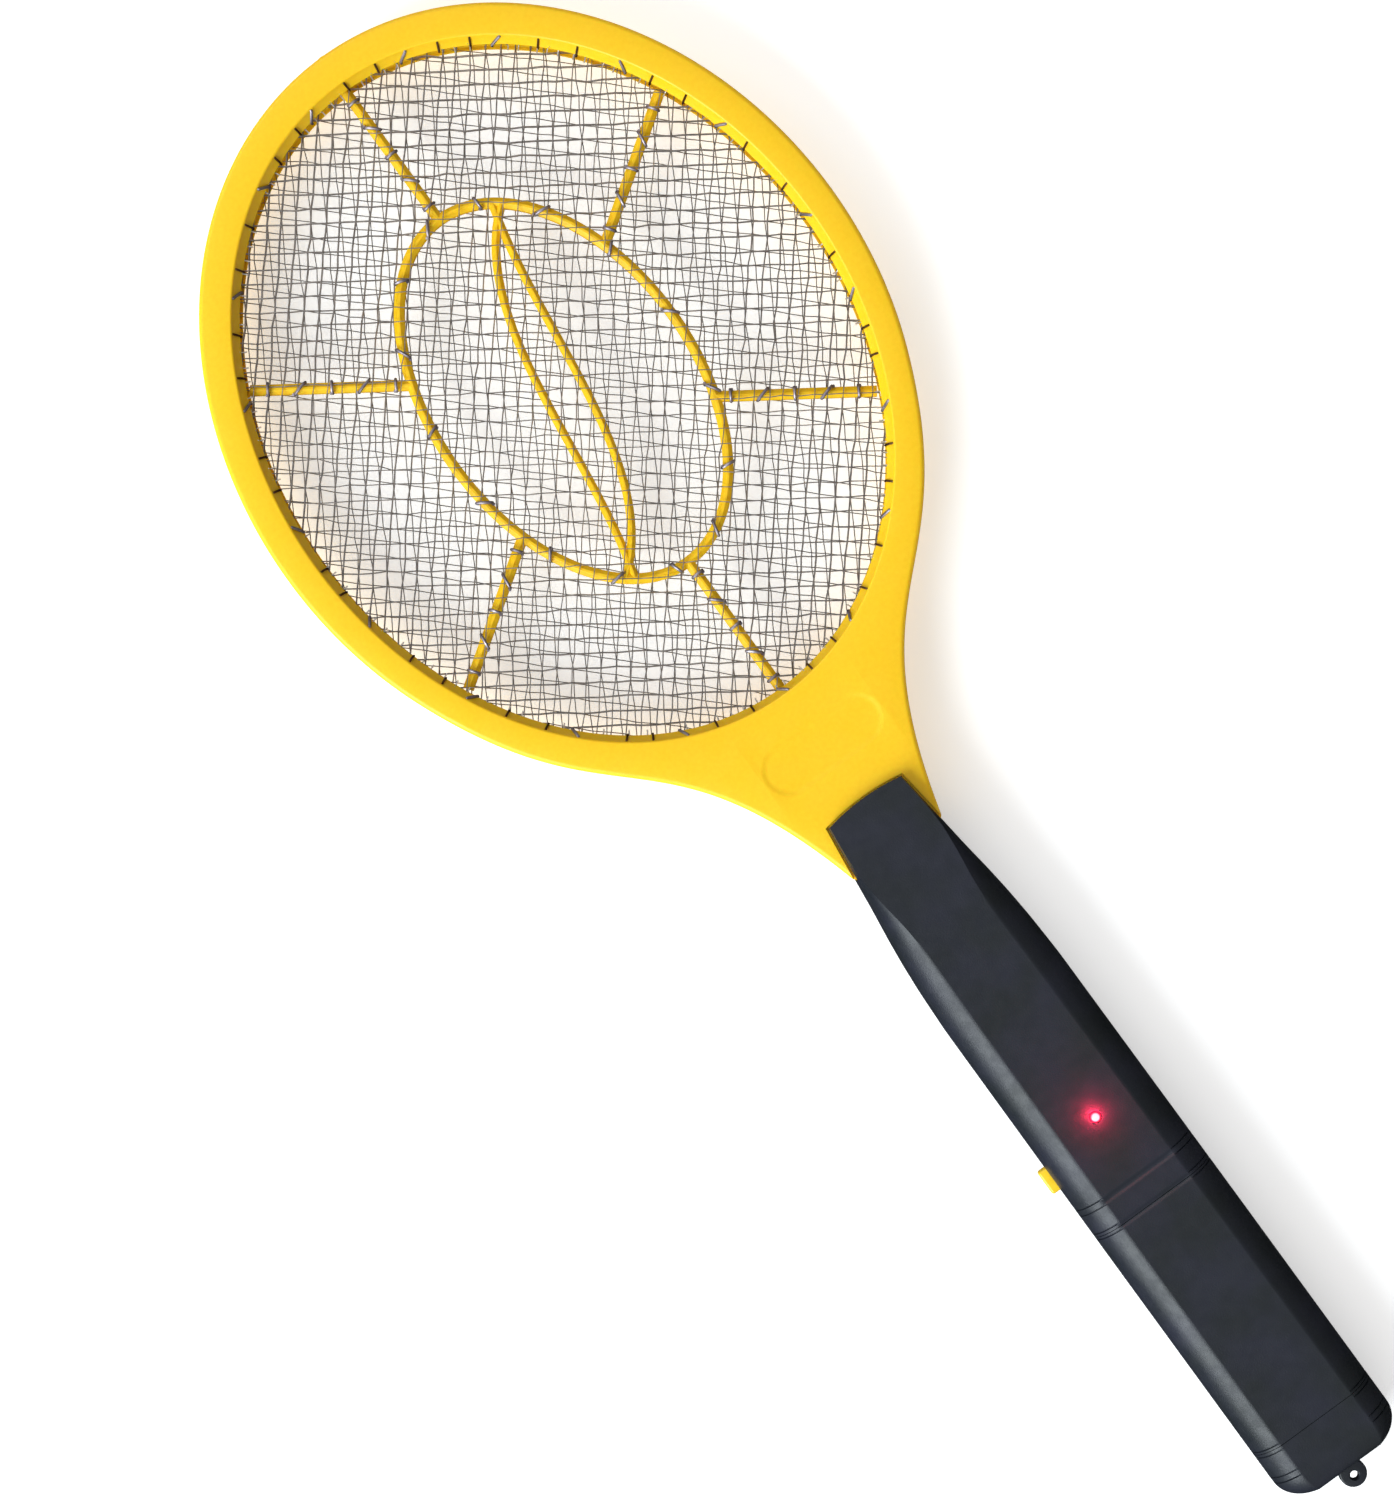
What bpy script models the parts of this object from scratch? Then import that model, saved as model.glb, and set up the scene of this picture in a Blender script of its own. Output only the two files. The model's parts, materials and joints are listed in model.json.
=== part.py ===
"""Electric fly swatter: a racket with three wire nets and a two-cell handle.

The racket lies flat. X runs across it with the push button on -X, Y runs along it with the
head on +Y, and +Z is the face with the lamp and the battery cover. The handle's back flat
rests at Z = 0. Lengths are in millimetres times MM, so every value is in metres.
"""
import math

import bmesh
import bpy
from mathutils import Matrix, Vector

MM = 0.001
GAP = 0.3 * MM                     # clearance between pieces that touch

# Head: two half shells with an elliptical ring and a neck that flares out of it
MID_Z = 13.0 * MM                  # height of the parting plane
HEAD_Y = 124.3 * MM                # centre of the ring's outer ellipse
HEAD_LONG = 105.8 * MM             # its semi-axis along Y
HEAD_WIDE = 87.5 * MM              # its semi-axis along X
OPEN_Y = 123.0 * MM                # centre of the opening
OPEN_LONG = 96.6 * MM
OPEN_WIDE = 77.6 * MM
HEAD_HALF = 7.5 * MM               # half the head's thickness
FRAME_WALL = 1.8 * MM
LIP_LOW = 3.7 * MM                 # underside of the lip that holds the nets
POCKET = 3.2 * MM                  # how far the net pocket runs under the lip
NECK_LEAVE_Y = 77.9 * MM           # where the neck's outline leaves the ellipse
NECK_TIP = (14.1 * MM, -25.9 * MM)
NECK_REACH_HEAD = 61.1 * MM        # handle lengths of the neck's Bezier outline
NECK_REACH_TIP = 67.0 * MM
NECK_TIP_SLOPE = 0.26
TONGUE_X = 9.5 * MM                # tongue that the handle shells clamp
TONGUE_END = -48.0 * MM
TONGUE_HALF = 5.2 * MM
TONGUE_ROOT = 6.0 * MM             # how far it reaches into the neck
CHANNEL_X = 8.0 * MM               # channel for the three net leads
CHANNEL_HALF = 3.7 * MM
RECESS = (35.0 * MM, 13.0 * MM, 0.6 * MM)   # plain pill-shaped recess on the neck
RECESS_Y = 8.1 * MM

# Nets and spacers: the stack is symmetric about the parting plane
NET_CELL = 3.85 * MM               # the real net's pitch
NET_FINE = 3 * NET_CELL            # outer nets: one bar stands for three wires
NET_COARSE = 5 * NET_CELL          # middle net: one bar stands for five wires
NET_WIRE = 0.6 * MM
NET_WELD = 1.6 * MM                # corners closer than this become one
NET_RISE = 2.9 * MM                # centre height of an outer net above the parting plane
NET_MARGIN = 2.7 * MM              # how far the nets reach under the lip
NET_TURN = math.radians(-36.0)     # the weave runs aslant to the racket
GRID_LOW = 0.75 * MM
GRID_HIGH = 2.15 * MM
RIB = 2.2 * MM
RING_LONG = 55.5 * MM              # the spacer's oval ring
RING_WIDE = 34.9 * MM
SPOKE = ((31.2, 24.6), (66.4, 48.5))        # a diagonal spoke from the oval to the rim
LENS = ((13.9, 51.0), (3.5, 16.6), (9.6, -29.3), (-15.8, -49.4))   # Bezier of one bowed line in the oval

# Handle: (Y, half width, half width of the flat face, half thickness on the front)
HANDLE = (
    (-9.4, 11.8, 11.2, 11.0), (-14.0, 12.3, 11.8, 11.3), (-20.0, 13.1, 12.4, 11.7),
    (-27.0, 14.0, 12.7, 12.1), (-35.0, 14.9, 11.9, 12.4), (-43.0, 16.0, 10.8, 12.7),
    (-51.0, 16.9, 10.3, 12.9), (-60.0, 17.6, 10.4, 13.0), (-72.0, 18.1, 10.6, 13.0),
    (-150.0, 18.3, 11.1, 13.0), (-218.0, 18.3, 11.4, 13.0), (-221.7, 17.5, 11.2, 12.8),
    (-223.5, 16.2, 10.6, 12.0), (-224.3, 14.2, 9.6, 10.6))
HANDLE_HALF = 13.0 * MM
GRIP_X = 18.3 * MM                 # half width of the straight grip
TOP_ARCH = 1.2 * MM                # the shells' top edge bows towards the head
SIDE_FLAT = 3.0 * MM               # half height of the narrow side's flat
SHELL_WALL = 2.2 * MM
CAVITY_TOP = -27.5 * MM
CAVITY_END = -221.0 * MM

# Battery cover: the front of the handle between the second and third ring groove
COVER_TOP = -138.2 * MM
COVER_END = -208.8 * MM
COVER_RISE = 3.0 * MM              # its side seam lies above the parting plane

# Battery bay: the two walls that carry the contacts
BAY_WALLS_Y = (-140.2 * MM, -207.6 * MM)
BAY_WIDTH = 30.0 * MM
BAY_WALL = 1.5 * MM
CONTACT_SIZE = (9.0 * MM, 0.4 * MM, 10.0 * MM)
CONTACT_GAP = 0.3 * MM
CONTACT_LOW = 1.5 * MM             # contacts sit this far below the parting plane

# Push button
BUTTON_Y = -119.6 * MM
BUTTON_SIZE = (2.3 * MM, 6.9 * MM, 5.0 * MM)    # stands out, length, height
BUTTON_FLANGE = (1.2 * MM, 9.5 * MM, 7.6 * MM)
STEM_R = 1.0 * MM
STEM = 3.6 * MM
PLUNGER = 3.4 * MM
SWITCH = (6.0 * MM, 6.4 * MM, 6.4 * MM)
SWITCH_STANDOFF = 2.2 * MM         # bare length of the plunger outside the switch
SPRING_R = 1.9 * MM
SPRING_WIRE_R = 0.22 * MM
SPRING_TURNS = 4

# Electronics
BOARD = (24.0 * MM, 52.0 * MM, 1.6 * MM)
BOARD_Y = -82.0 * MM
BOARD_Z = -6.5 * MM                # below the parting plane
LAMP_Y = -111.5 * MM
LAMP_R = 1.5 * MM
CELL_R = 7.25 * MM
CELL_LENGTH = 50.5 * MM
CELL_X = 7.6 * MM
CELL_Y = -173.6 * MM
CONTACT_R = 2.9 * MM
LEAD_R = 0.6 * MM

# Fasteners and the hanging ear
SCREW_R = 1.2 * MM
SCREW_HEAD = (2.4 * MM, 1.5 * MM)
SCREW_SLOT = (3.0 * MM, 0.6 * MM, 0.7 * MM)
HEAD_SCREW_LENGTH = 9.0 * MM
HANDLE_SCREW_LENGTH = 15.0 * MM
HANDLE_SEAT = 4.0 * MM             # depth of the sinks in the back shell
BOSS_R = 3.1 * MM
BOSS_HOLE = 8.0 * MM               # depth of the front bosses' holes
HANDLE_SCREWS_Y = (-37.0 * MM, -133.5 * MM, -213.6 * MM)
HEAD_SCREW_ANGLES = (-20.0, 30.0, 90.0, 150.0, 200.0)
NECK_SCREW_X = 19.0 * MM
NECK_SCREW_Y = 16.0 * MM
EAR_R = 3.8 * MM
EAR_HOLE_R = 1.1 * MM
EAR_Y = -226.2 * MM
EAR_ROOT = 6.0 * MM                # length of the block that ties it to the shell
EAR_HOLE_Y = -227.0 * MM
EAR_THICK = 3.2 * MM

RING_STEPS = 48
OVAL_STEPS = 32
TURN_STEPS = 8                     # points per turn of a coil
CUTTER_OVER = 2.0 * MM             # how far a cutter runs past the wall it cuts

COLOURS = {
    "yellow_plastic": ((0.90, 0.58, 0.015), 0.42, 0.0),
    "black_plastic": ((0.022, 0.026, 0.032), 0.45, 0.0),
    "net_wire": ((0.30, 0.28, 0.27), 0.38, 1.0),
    "zinc_steel": ((0.62, 0.62, 0.60), 0.30, 1.0),
    "board_green": ((0.03, 0.20, 0.07), 0.45, 0.0),
    "ferrite": ((0.05, 0.05, 0.055), 0.60, 0.0),
    "copper_winding": ((0.72, 0.32, 0.12), 0.35, 0.9),
    "red_film": ((0.45, 0.05, 0.03), 0.30, 0.0),
    "ceramic_blue": ((0.05, 0.15, 0.45), 0.35, 0.0),
    "resistor_tan": ((0.62, 0.48, 0.30), 0.50, 0.0),
    "red_lens": ((0.80, 0.02, 0.03), 0.10, 0.0),
    "cell_wrap": ((0.10, 0.28, 0.16), 0.35, 0.3),
    "red_insulation": ((0.60, 0.02, 0.02), 0.45, 0.0),
    "black_insulation": ((0.03, 0.03, 0.03), 0.45, 0.0),
}


def clear_scene():
    for old in list(bpy.data.objects):
        bpy.data.objects.remove(old, do_unlink=True)


def new_collection(name):
    made = bpy.data.collections.new(name)
    bpy.context.scene.collection.children.link(made)
    return made


def new_material(name):
    colour, roughness, metallic = COLOURS[name]
    made = bpy.data.materials.new(name)
    made.use_nodes = True
    shader = made.node_tree.nodes["Principled BSDF"]
    shader.inputs["Base Color"].default_value = (*colour, 1.0)
    shader.inputs["Roughness"].default_value = roughness
    shader.inputs["Metallic"].default_value = metallic
    return made


clear_scene()
PARTS = new_collection("electric_fly_swatter")
CUTTERS = new_collection("cutters")
MATERIALS = {name: new_material(name) for name in COLOURS}


def place(name, mesh, material=None):
    """Links a mesh as a part, or as a cutter where it has no material."""
    made = bpy.data.objects.new(name, mesh)
    if material:
        mesh.materials.append(MATERIALS[material])
        PARTS.objects.link(made)
    else:
        made.hide_render = True
        made.display_type = "WIRE"
        CUTTERS.objects.link(made)
    return made


def finish_mesh(name, shape, material, smooth=True):
    bmesh.ops.recalc_face_normals(shape, faces=shape.faces)
    mesh = bpy.data.meshes.new(name)
    shape.to_mesh(mesh)
    shape.free()
    if smooth:
        mesh.shade_smooth()
        mesh.set_sharp_from_angle(angle=math.radians(35.0))
    return place(name, mesh, material)


def box(name, size, centre, material=None):
    shape = bmesh.new()
    matrix = Matrix.Translation(Vector(centre)) @ Matrix.Diagonal((*size, 1.0))
    bmesh.ops.create_cube(shape, size=1.0, matrix=matrix)
    return finish_mesh(name, shape, material, smooth=False)


def cylinder(name, radius, length, centre, axis="Z", material=None, steps=20, top=None):
    turn = {"Z": Matrix(), "Y": Matrix.Rotation(math.pi / 2, 4, "X"),
            "X": Matrix.Rotation(math.pi / 2, 4, "Y")}
    shape = bmesh.new()
    bmesh.ops.create_cone(
        shape, cap_ends=True, segments=steps, radius1=radius, radius2=radius if top is None else top,
        depth=length, matrix=Matrix.Translation(Vector(centre)) @ turn[axis])
    return finish_mesh(name, shape, material)


def curve_mesh(name, curve, material):
    """Turns a curve into a mesh object with its caps welded."""
    guide = bpy.data.objects.new(name + "_curve", curve)
    CUTTERS.objects.link(guide)
    bpy.context.view_layer.update()
    solved = guide.evaluated_get(bpy.context.evaluated_depsgraph_get())
    mesh = bpy.data.meshes.new_from_object(solved)
    mesh.name = name
    bpy.data.objects.remove(guide, do_unlink=True)
    shape = bmesh.new()
    shape.from_mesh(mesh)
    bmesh.ops.remove_doubles(shape, verts=shape.verts, dist=0.00001)
    bpy.data.meshes.remove(mesh)
    return finish_mesh(name, shape, material)


def outline_solid(name, outlines, low, high, material=None):
    """Extrudes closed outlines, where an outline inside another one is a hole."""
    curve = bpy.data.curves.new(name, "CURVE")
    curve.dimensions = "2D"
    curve.fill_mode = "BOTH"
    curve.extrude = (high - low) / 2
    for outline in outlines:
        spline = curve.splines.new("POLY")
        spline.points.add(len(outline) - 1)
        spline.use_cyclic_u = True
        for point, (x, y) in zip(spline.points, outline):
            point.co = (x, y, 0.0, 1.0)
    made = curve_mesh(name, curve, material)
    made.data.transform(Matrix.Translation((0.0, 0.0, (low + high) / 2)))
    return made


def tube(name, points, radius, material):
    """A round wire along points, capped at both ends."""
    curve = bpy.data.curves.new(name, "CURVE")
    curve.dimensions = "3D"
    curve.bevel_depth = radius
    curve.bevel_resolution = 2
    curve.use_fill_caps = True
    spline = curve.splines.new("POLY")
    spline.points.add(len(points) - 1)
    for point, place_at in zip(spline.points, points):
        point.co = (*place_at, 1.0)
    return curve_mesh(name, curve, material)


def turned(name, profile, base, material, steps=14, axis=(0.0, 0.0, 1.0)):
    """Turns a profile of (radius, height) points, listed from the top down, about an axis."""
    mesh = bpy.data.meshes.new(name)
    points = [(radius, 0.0, height) for radius, height in profile]
    mesh.from_pydata(points, [(i, i + 1) for i in range(len(points) - 1)], [])
    made = place(name, mesh, material)
    made.location = base
    made.rotation_mode = "QUATERNION"
    made.rotation_quaternion = Vector((0.0, 0.0, 1.0)).rotation_difference(Vector(axis))
    screw = made.modifiers.new("turn", "SCREW")
    screw.steps = steps
    screw.render_steps = steps
    screw.use_merge_vertices = True
    screw.merge_threshold = 0.00001
    screw.use_smooth_shade = True
    return made


def combine(body, tool, operation="DIFFERENCE"):
    step = body.modifiers.new(operation.lower(), "BOOLEAN")
    step.operation = operation
    step.object = tool
    step.solver = "EXACT"
    tool.hide_render = True
    return body


def cut(body, *tools):
    for tool in tools:
        combine(body, tool)


def join(body, *tools):
    for tool in tools:
        combine(body, tool, "UNION")


def ellipse(centre_y, long, wide, steps=RING_STEPS, centre_x=0.0):
    angles = [2 * math.pi * i / steps for i in range(steps)]
    return [(centre_x + wide * math.cos(a), centre_y + long * math.sin(a)) for a in angles]


def mirrored(half):
    """Closes a half outline on +X with its mirror image."""
    return half + [(-x, y) for x, y in reversed(half)]


def bezier(knots, steps):
    """Points along a cubic Bezier curve in the plane."""
    points = []
    for i in range(steps + 1):
        t = i / steps
        weights = ((1 - t) ** 3, 3 * (1 - t) ** 2 * t, 3 * (1 - t) * t * t, t ** 3)
        points.append(tuple(sum((k * w for k, w in zip(knots, weights)), Vector((0.0, 0.0)))))
    return points


def neck_side(steps=10):
    """The neck's outline from the ellipse down to its tip, on +X."""
    rise = (NECK_LEAVE_Y - HEAD_Y) / HEAD_LONG
    start = Vector((HEAD_WIDE * math.sqrt(1 - rise * rise), NECK_LEAVE_Y))
    slope = -(HEAD_WIDE / HEAD_LONG) ** 2 * (NECK_LEAVE_Y - HEAD_Y) / start.x
    leave = Vector((-slope, -1.0)).normalized()
    tip = Vector(NECK_TIP)
    arrive = Vector((NECK_TIP_SLOPE, 1.0)).normalized()
    knots = (start, start + leave * NECK_REACH_HEAD, tip + arrive * NECK_REACH_TIP, tip)
    return bezier(knots, steps)


def head_outline(grow=0.0):
    """Ring, neck and tip as one closed outline, grown or shrunk by a margin."""
    rise = math.asin((NECK_LEAVE_Y - HEAD_Y) / HEAD_LONG)
    steps = RING_STEPS // 2 + 2
    sweep = (math.pi / 2 - rise) / steps
    angles = [math.pi / 2 - sweep * i for i in range(1, steps)]
    wide, long = HEAD_WIDE + grow, HEAD_LONG + grow
    ring = [(wide * math.cos(a), HEAD_Y + long * math.sin(a)) for a in angles]
    side = [(x + grow, y) for x, y in neck_side()]
    side[-1] = (side[-1][0], side[-1][1] - grow)
    return [(0.0, HEAD_Y + long)] + mirrored(ring + side)


def pill(centre_y, length, width, steps=8):
    """An outline with round ends, long across the racket."""
    radius = width / 2
    angles = [math.pi / 2 - math.pi * i / steps for i in range(steps + 1)]
    half = [(length / 2 - radius + radius * math.cos(a), centre_y + radius * math.sin(a)) for a in angles]
    return mirrored(half)


def inset_ring(margin):
    return ellipse(OPEN_Y, OPEN_LONG + margin, OPEN_WIDE + margin)


def level(side, height):
    """Height above the bed of a point that lies height away from the parting plane."""
    return MID_Z + side * height


def slab(name, outlines, side, near, far, material=None):
    """An extruded outline between two distances from the parting plane, on one side of it."""
    low, high = sorted((level(side, near), level(side, far)))
    return outline_solid(name, outlines, low, high, material)


def head_screw_places():
    """Centres of the screws that hold the two head halves together."""
    mid_long = (HEAD_LONG + OPEN_LONG + POCKET) / 2
    mid_wide = (HEAD_WIDE + OPEN_WIDE + POCKET) / 2
    angles = [math.radians(a) for a in HEAD_SCREW_ANGLES]
    ring = [(mid_wide * math.cos(a), HEAD_Y + mid_long * math.sin(a)) for a in angles]
    return ring + [(x, NECK_SCREW_Y) for x in (-NECK_SCREW_X, NECK_SCREW_X)]


def head_frame(name, side):
    """One half of the head: ring, neck and tongue, hollow towards the parting plane."""
    frame = slab(name, [head_outline(), inset_ring(0.0)], side, GAP / 2, HEAD_HALF, "yellow_plastic")
    tongue_top = NECK_TIP[1] + TONGUE_ROOT
    tongue_box = (2 * TONGUE_X, tongue_top - TONGUE_END, TONGUE_HALF - GAP)
    tongue_y = (TONGUE_END + tongue_top) / 2
    tongue_z = level(side, (TONGUE_HALF + GAP) / 2)
    cut(frame, slab(name + "_pocket", [inset_ring(POCKET)], side, -CUTTER_OVER, LIP_LOW))
    walls = [head_outline(grow=-FRAME_WALL), inset_ring(POCKET + FRAME_WALL)]
    groove = slab(name + "_groove", walls, side, -CUTTER_OVER, HEAD_HALF - FRAME_WALL)
    cut(frame, groove)
    join(frame, box(name + "_tongue", tongue_box, (0.0, tongue_y, tongue_z)))
    channel_length = OPEN_Y - OPEN_LONG - TONGUE_END + CUTTER_OVER
    channel_y = (OPEN_Y - OPEN_LONG + TONGUE_END - CUTTER_OVER) / 2
    channel = (2 * CHANNEL_X, channel_length, 2 * CHANNEL_HALF)
    cut(frame, box(name + "_channel", channel, (0.0, channel_y, MID_Z)))
    for number, (x, y) in enumerate(head_screw_places()):
        post_name = "{}_post_{}".format(name, number)
        middle = (x, y, level(side, HEAD_HALF / 2))
        join(frame, cylinder(post_name, BOSS_R, HEAD_HALF - FRAME_WALL, middle, steps=14))
        depth = HEAD_HALF - FRAME_WALL if side > 0 else HEAD_HALF + CUTTER_OVER
        hole = cylinder(
            "{}_hole_{}".format(name, number), SCREW_R + GAP, depth + CUTTER_OVER,
            (x, y, level(side, (depth - CUTTER_OVER) / 2)), steps=12)
        cut(frame, hole)
        if side < 0:
            seat = SCREW_HEAD[1] + GAP
            sink = cylinder(
                "{}_sink_{}".format(name, number), SCREW_HEAD[0] + GAP, seat + CUTTER_OVER,
                (x, y, level(side, HEAD_HALF + (CUTTER_OVER - seat) / 2)), steps=16)
            cut(frame, sink)
    boss_gap = cylinder(name + "_boss_gap", BOSS_R + GAP, 4 * HEAD_HALF, (0.0, HANDLE_SCREWS_Y[0], MID_Z))
    cut(frame, boss_gap)
    return frame


def neck_recess(frame, side):
    length, width, depth = RECESS
    outline = pill(RECESS_Y, length, width)
    cut(frame, slab(frame.name + "_recess", [outline], side, HEAD_HALF - depth, HEAD_HALF + CUTTER_OVER))


def net(name, height, pitch):
    """A flat lattice of straight bars inside an elliptical rim bar."""
    long = OPEN_LONG + NET_MARGIN - NET_WIRE / 2
    wide = OPEN_WIDE + NET_MARGIN - NET_WIRE / 2
    shape = bmesh.new()
    bmesh.ops.create_circle(shape, cap_ends=True, segments=RING_STEPS, radius=1.0)
    bmesh.ops.scale(shape, verts=shape.verts, vec=(wide, long, 1.0))
    for turn in (NET_TURN, NET_TURN + math.pi / 2):
        normal = Vector((math.cos(turn), math.sin(turn), 0.0))
        reach = math.hypot(wide * normal.x, long * normal.y)
        count = int((reach - NET_CELL) / pitch)
        for k in range(-count, count + 1):
            everything = shape.verts[:] + shape.edges[:] + shape.faces[:]
            bmesh.ops.bisect_plane(shape, geom=everything, plane_co=normal * pitch * k, plane_no=normal)
    bmesh.ops.remove_doubles(shape, verts=shape.verts, dist=NET_WELD)
    bmesh.ops.translate(shape, verts=shape.verts, vec=(0.0, OPEN_Y, height))
    lattice = finish_mesh(name, shape, "net_wire", smooth=False)
    wires = lattice.modifiers.new("wires", "WIREFRAME")
    wires.thickness = NET_WIRE
    wires.offset = 0.0
    wires.use_even_offset = False
    wires.use_boundary = True
    wires.use_replace = True
    return lattice


def bar_outline(start, end, width):
    """A straight bar's four corners."""
    first, last = Vector(start), Vector(end)
    side = (last - first).orthogonal().normalized() * width / 2
    return [tuple(first + side), tuple(last + side), tuple(last - side), tuple(first - side)]


def lens_lines(steps=8):
    """The slim slanted lens inside the oval: a bowed line and its point reflection."""
    right = bezier([Vector(knot) * MM for knot in LENS], steps)
    left = [(-x, 2 * OPEN_Y - y) for x, y in ((x, y + OPEN_Y) for x, y in right)]
    return [(x, y + OPEN_Y) for x, y in right], left


def spoke_ends():
    """Start on the oval ring and end under the rim for each of the six spokes."""
    reach = OPEN_LONG + POCKET / 2
    ends = [((0.0, s * (RING_LONG - RIB / 4)), (0.0, s * reach)) for s in (-1, 1)]
    for sx in (-1, 1):
        for sy in (-1, 1):
            ends.append(tuple((sx * x * MM, sy * y * MM) for x, y in SPOKE))
    return ends


def spacer_grid(name, side):
    """Rim, oval ring, spokes and lens that keep one outer net off the middle one."""
    rim = [inset_ring(POCKET - GAP), inset_ring(0.6 * MM)]
    grid = slab(name, rim, side, GRID_LOW, GRID_HIGH, "yellow_plastic")
    ring = [ellipse(OPEN_Y, RING_LONG + r, RING_WIDE + r, OVAL_STEPS) for r in (RIB / 2, -RIB / 2)]
    join(grid, slab(name + "_ring", ring, side, GRID_LOW, GRID_HIGH))
    for number, (start, end) in enumerate(spoke_ends()):
        bar = [(x, y + OPEN_Y) for x, y in bar_outline(start, end, RIB)]
        join(grid, slab("{}_spoke_{}".format(name, number), [bar], side, GRID_LOW, GRID_HIGH))
    for number, line in enumerate(lens_lines()):
        outer = [(x + RIB / 2, y) for x, y in line]
        inner = [(x - RIB / 2, y) for x, y in reversed(line)]
        join(grid, slab("{}_bow_{}".format(name, number), [outer + inner], side, GRID_LOW, GRID_HIGH))
    return grid


def handle_section(station, inset):
    """The closed section of the handle at one station, as points in space."""
    y, half_width, face, front = (value * MM for value in station)
    arch = TOP_ARCH if station == HANDLE[0] and not inset else 0.0
    half_width -= inset
    face -= 0.7 * inset
    side = min(SIDE_FLAT, front / 3)
    loop = []
    for sign, thick in ((1, front - inset), (-1, HANDLE_HALF - inset)):
        corner = ((face, thick), (half_width - 0.1 * (half_width - face), thick - 0.3 * (thick - side)),
                  (half_width, side))
        arc = []
        for i in range(6):
            t = i / 5
            weights = ((1 - t) ** 2, 2 * (1 - t) * t, t * t)
            x = sum(w * p[0] for w, p in zip(weights, corner))
            z = sum(w * p[1] for w, p in zip(weights, corner))
            arc.append((x, sign * z))
        loop += arc if sign > 0 else list(reversed(arc))
    loop += [(-x, z) for x, z in reversed(loop)]
    return [Vector((x, y - arch * (x / half_width) ** 2, MID_Z + z)) for x, z in loop]


def loft(name, sections, material=None):
    """Skins a row of sections that all have the same number of points, and caps both ends."""
    shape = bmesh.new()
    rings = [[shape.verts.new(point) for point in section] for section in sections]
    for first, second in zip(rings, rings[1:]):
        for i, vert in enumerate(first):
            j = (i + 1) % len(first)
            shape.faces.new((vert, first[j], second[j], second[i]))
    shape.faces.new(rings[0])
    shape.faces.new(rings[-1])
    bmesh.ops.triangulate(shape, faces=[f for f in shape.faces if len(f.verts) > 4])
    return finish_mesh(name, shape, material)


def between(low_y, high_y):
    """Handle stations from one Y to another, with sections worked out at both ends."""
    def at(y):
        for upper, lower in zip(HANDLE, HANDLE[1:]):
            if upper[0] * MM >= y >= lower[0] * MM:
                t = (upper[0] - y / MM) / (upper[0] - lower[0])
                return (y / MM,) + tuple(a + (b - a) * t for a, b in zip(upper[1:], lower[1:]))
        return HANDLE[-1]
    inside = [s for s in HANDLE if low_y < s[0] * MM < high_y]
    return [at(high_y)] + inside + [at(low_y)]


def cavity(name, low_y=CAVITY_END, high_y=CAVITY_TOP):
    return loft(name, [handle_section(s, SHELL_WALL) for s in between(low_y, high_y)])


def neck_clearance(name):
    """The neck and tongue, grown by the gap, to be cut from the handle shells."""
    low, high = level(-1, HEAD_HALF + GAP), level(1, HEAD_HALF + GAP)
    wedge = outline_solid(name, [head_outline(grow=GAP)], low, high)
    tongue = (2 * (TONGUE_X + GAP), 30.0 * MM, 2 * (TONGUE_HALF + GAP))
    tongue_y = TONGUE_END - GAP + 15.0 * MM
    join(wedge, box(name + "_tongue", tongue, (0.0, tongue_y, MID_Z)))
    return wedge


def half_space(name, side):
    """A block over the whole handle that covers the far side of the parting plane."""
    size = 80.0 * MM
    centre = (0.0, (HANDLE[0][0] + HANDLE[-1][0]) / 2 * MM, level(-side, (size - GAP) / 2))
    return box(name, (size, 280.0 * MM, size), centre)


def shell(name):
    """The whole handle, hollow, before it is parted."""
    made = loft(name, [handle_section(s, 0.0) for s in HANDLE], "black_plastic")
    cut(made, cavity(name + "_cavity"))
    return made


def shell_bosses(made, side):
    """Screw posts that run from the shell's wall to the parting plane."""
    length = HANDLE_HALF - SHELL_WALL / 2
    for number, y in enumerate(HANDLE_SCREWS_Y):
        name = "{}_post_{}".format(made.name, number)
        join(made, cylinder(name, BOSS_R, length, (0.0, y, level(side, length / 2))))
    reach = BOSS_HOLE if side > 0 else HANDLE_HALF + CUTTER_OVER
    for number, y in enumerate(HANDLE_SCREWS_Y):
        name = "{}_hole_{}".format(made.name, number)
        middle = (0.0, y, level(side, (reach - CUTTER_OVER) / 2))
        cut(made, cylinder(name, SCREW_R + GAP, reach + CUTTER_OVER, middle, steps=12))
        if side < 0:
            name = "{}_sink_{}".format(made.name, number)
            middle = (0.0, y, level(side, HANDLE_HALF + (CUTTER_OVER - HANDLE_SEAT) / 2))
            cut(made, cylinder(name, SCREW_HEAD[0] + GAP, HANDLE_SEAT + CUTTER_OVER, middle, steps=16))


def side_window(name):
    """The opening for the push button in the narrow side on -X."""
    size = (4 * SHELL_WALL, BUTTON_SIZE[1] + 2 * GAP, BUTTON_SIZE[2] + 2 * GAP)
    return box(name, size, (-GRIP_X, BUTTON_Y, MID_Z))


def handle_shell_front():
    made = shell("handle_shell_front")
    shell_bosses(made, 1)
    cut(made, half_space("front_split", 1), neck_clearance("front_neck"))
    size = (60.0 * MM, COVER_TOP - COVER_END, 30.0 * MM)
    centre = (0.0, (COVER_TOP + COVER_END) / 2, level(1, COVER_RISE) + size[2] / 2)
    cut(made, box("cover_opening", size, centre), side_window("front_window"))
    lamp_hole = cylinder("lamp_hole", LAMP_R + GAP, 10.0 * MM, (0.0, LAMP_Y, level(1, HANDLE_HALF)))
    cut(made, lamp_hole)
    return made


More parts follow.
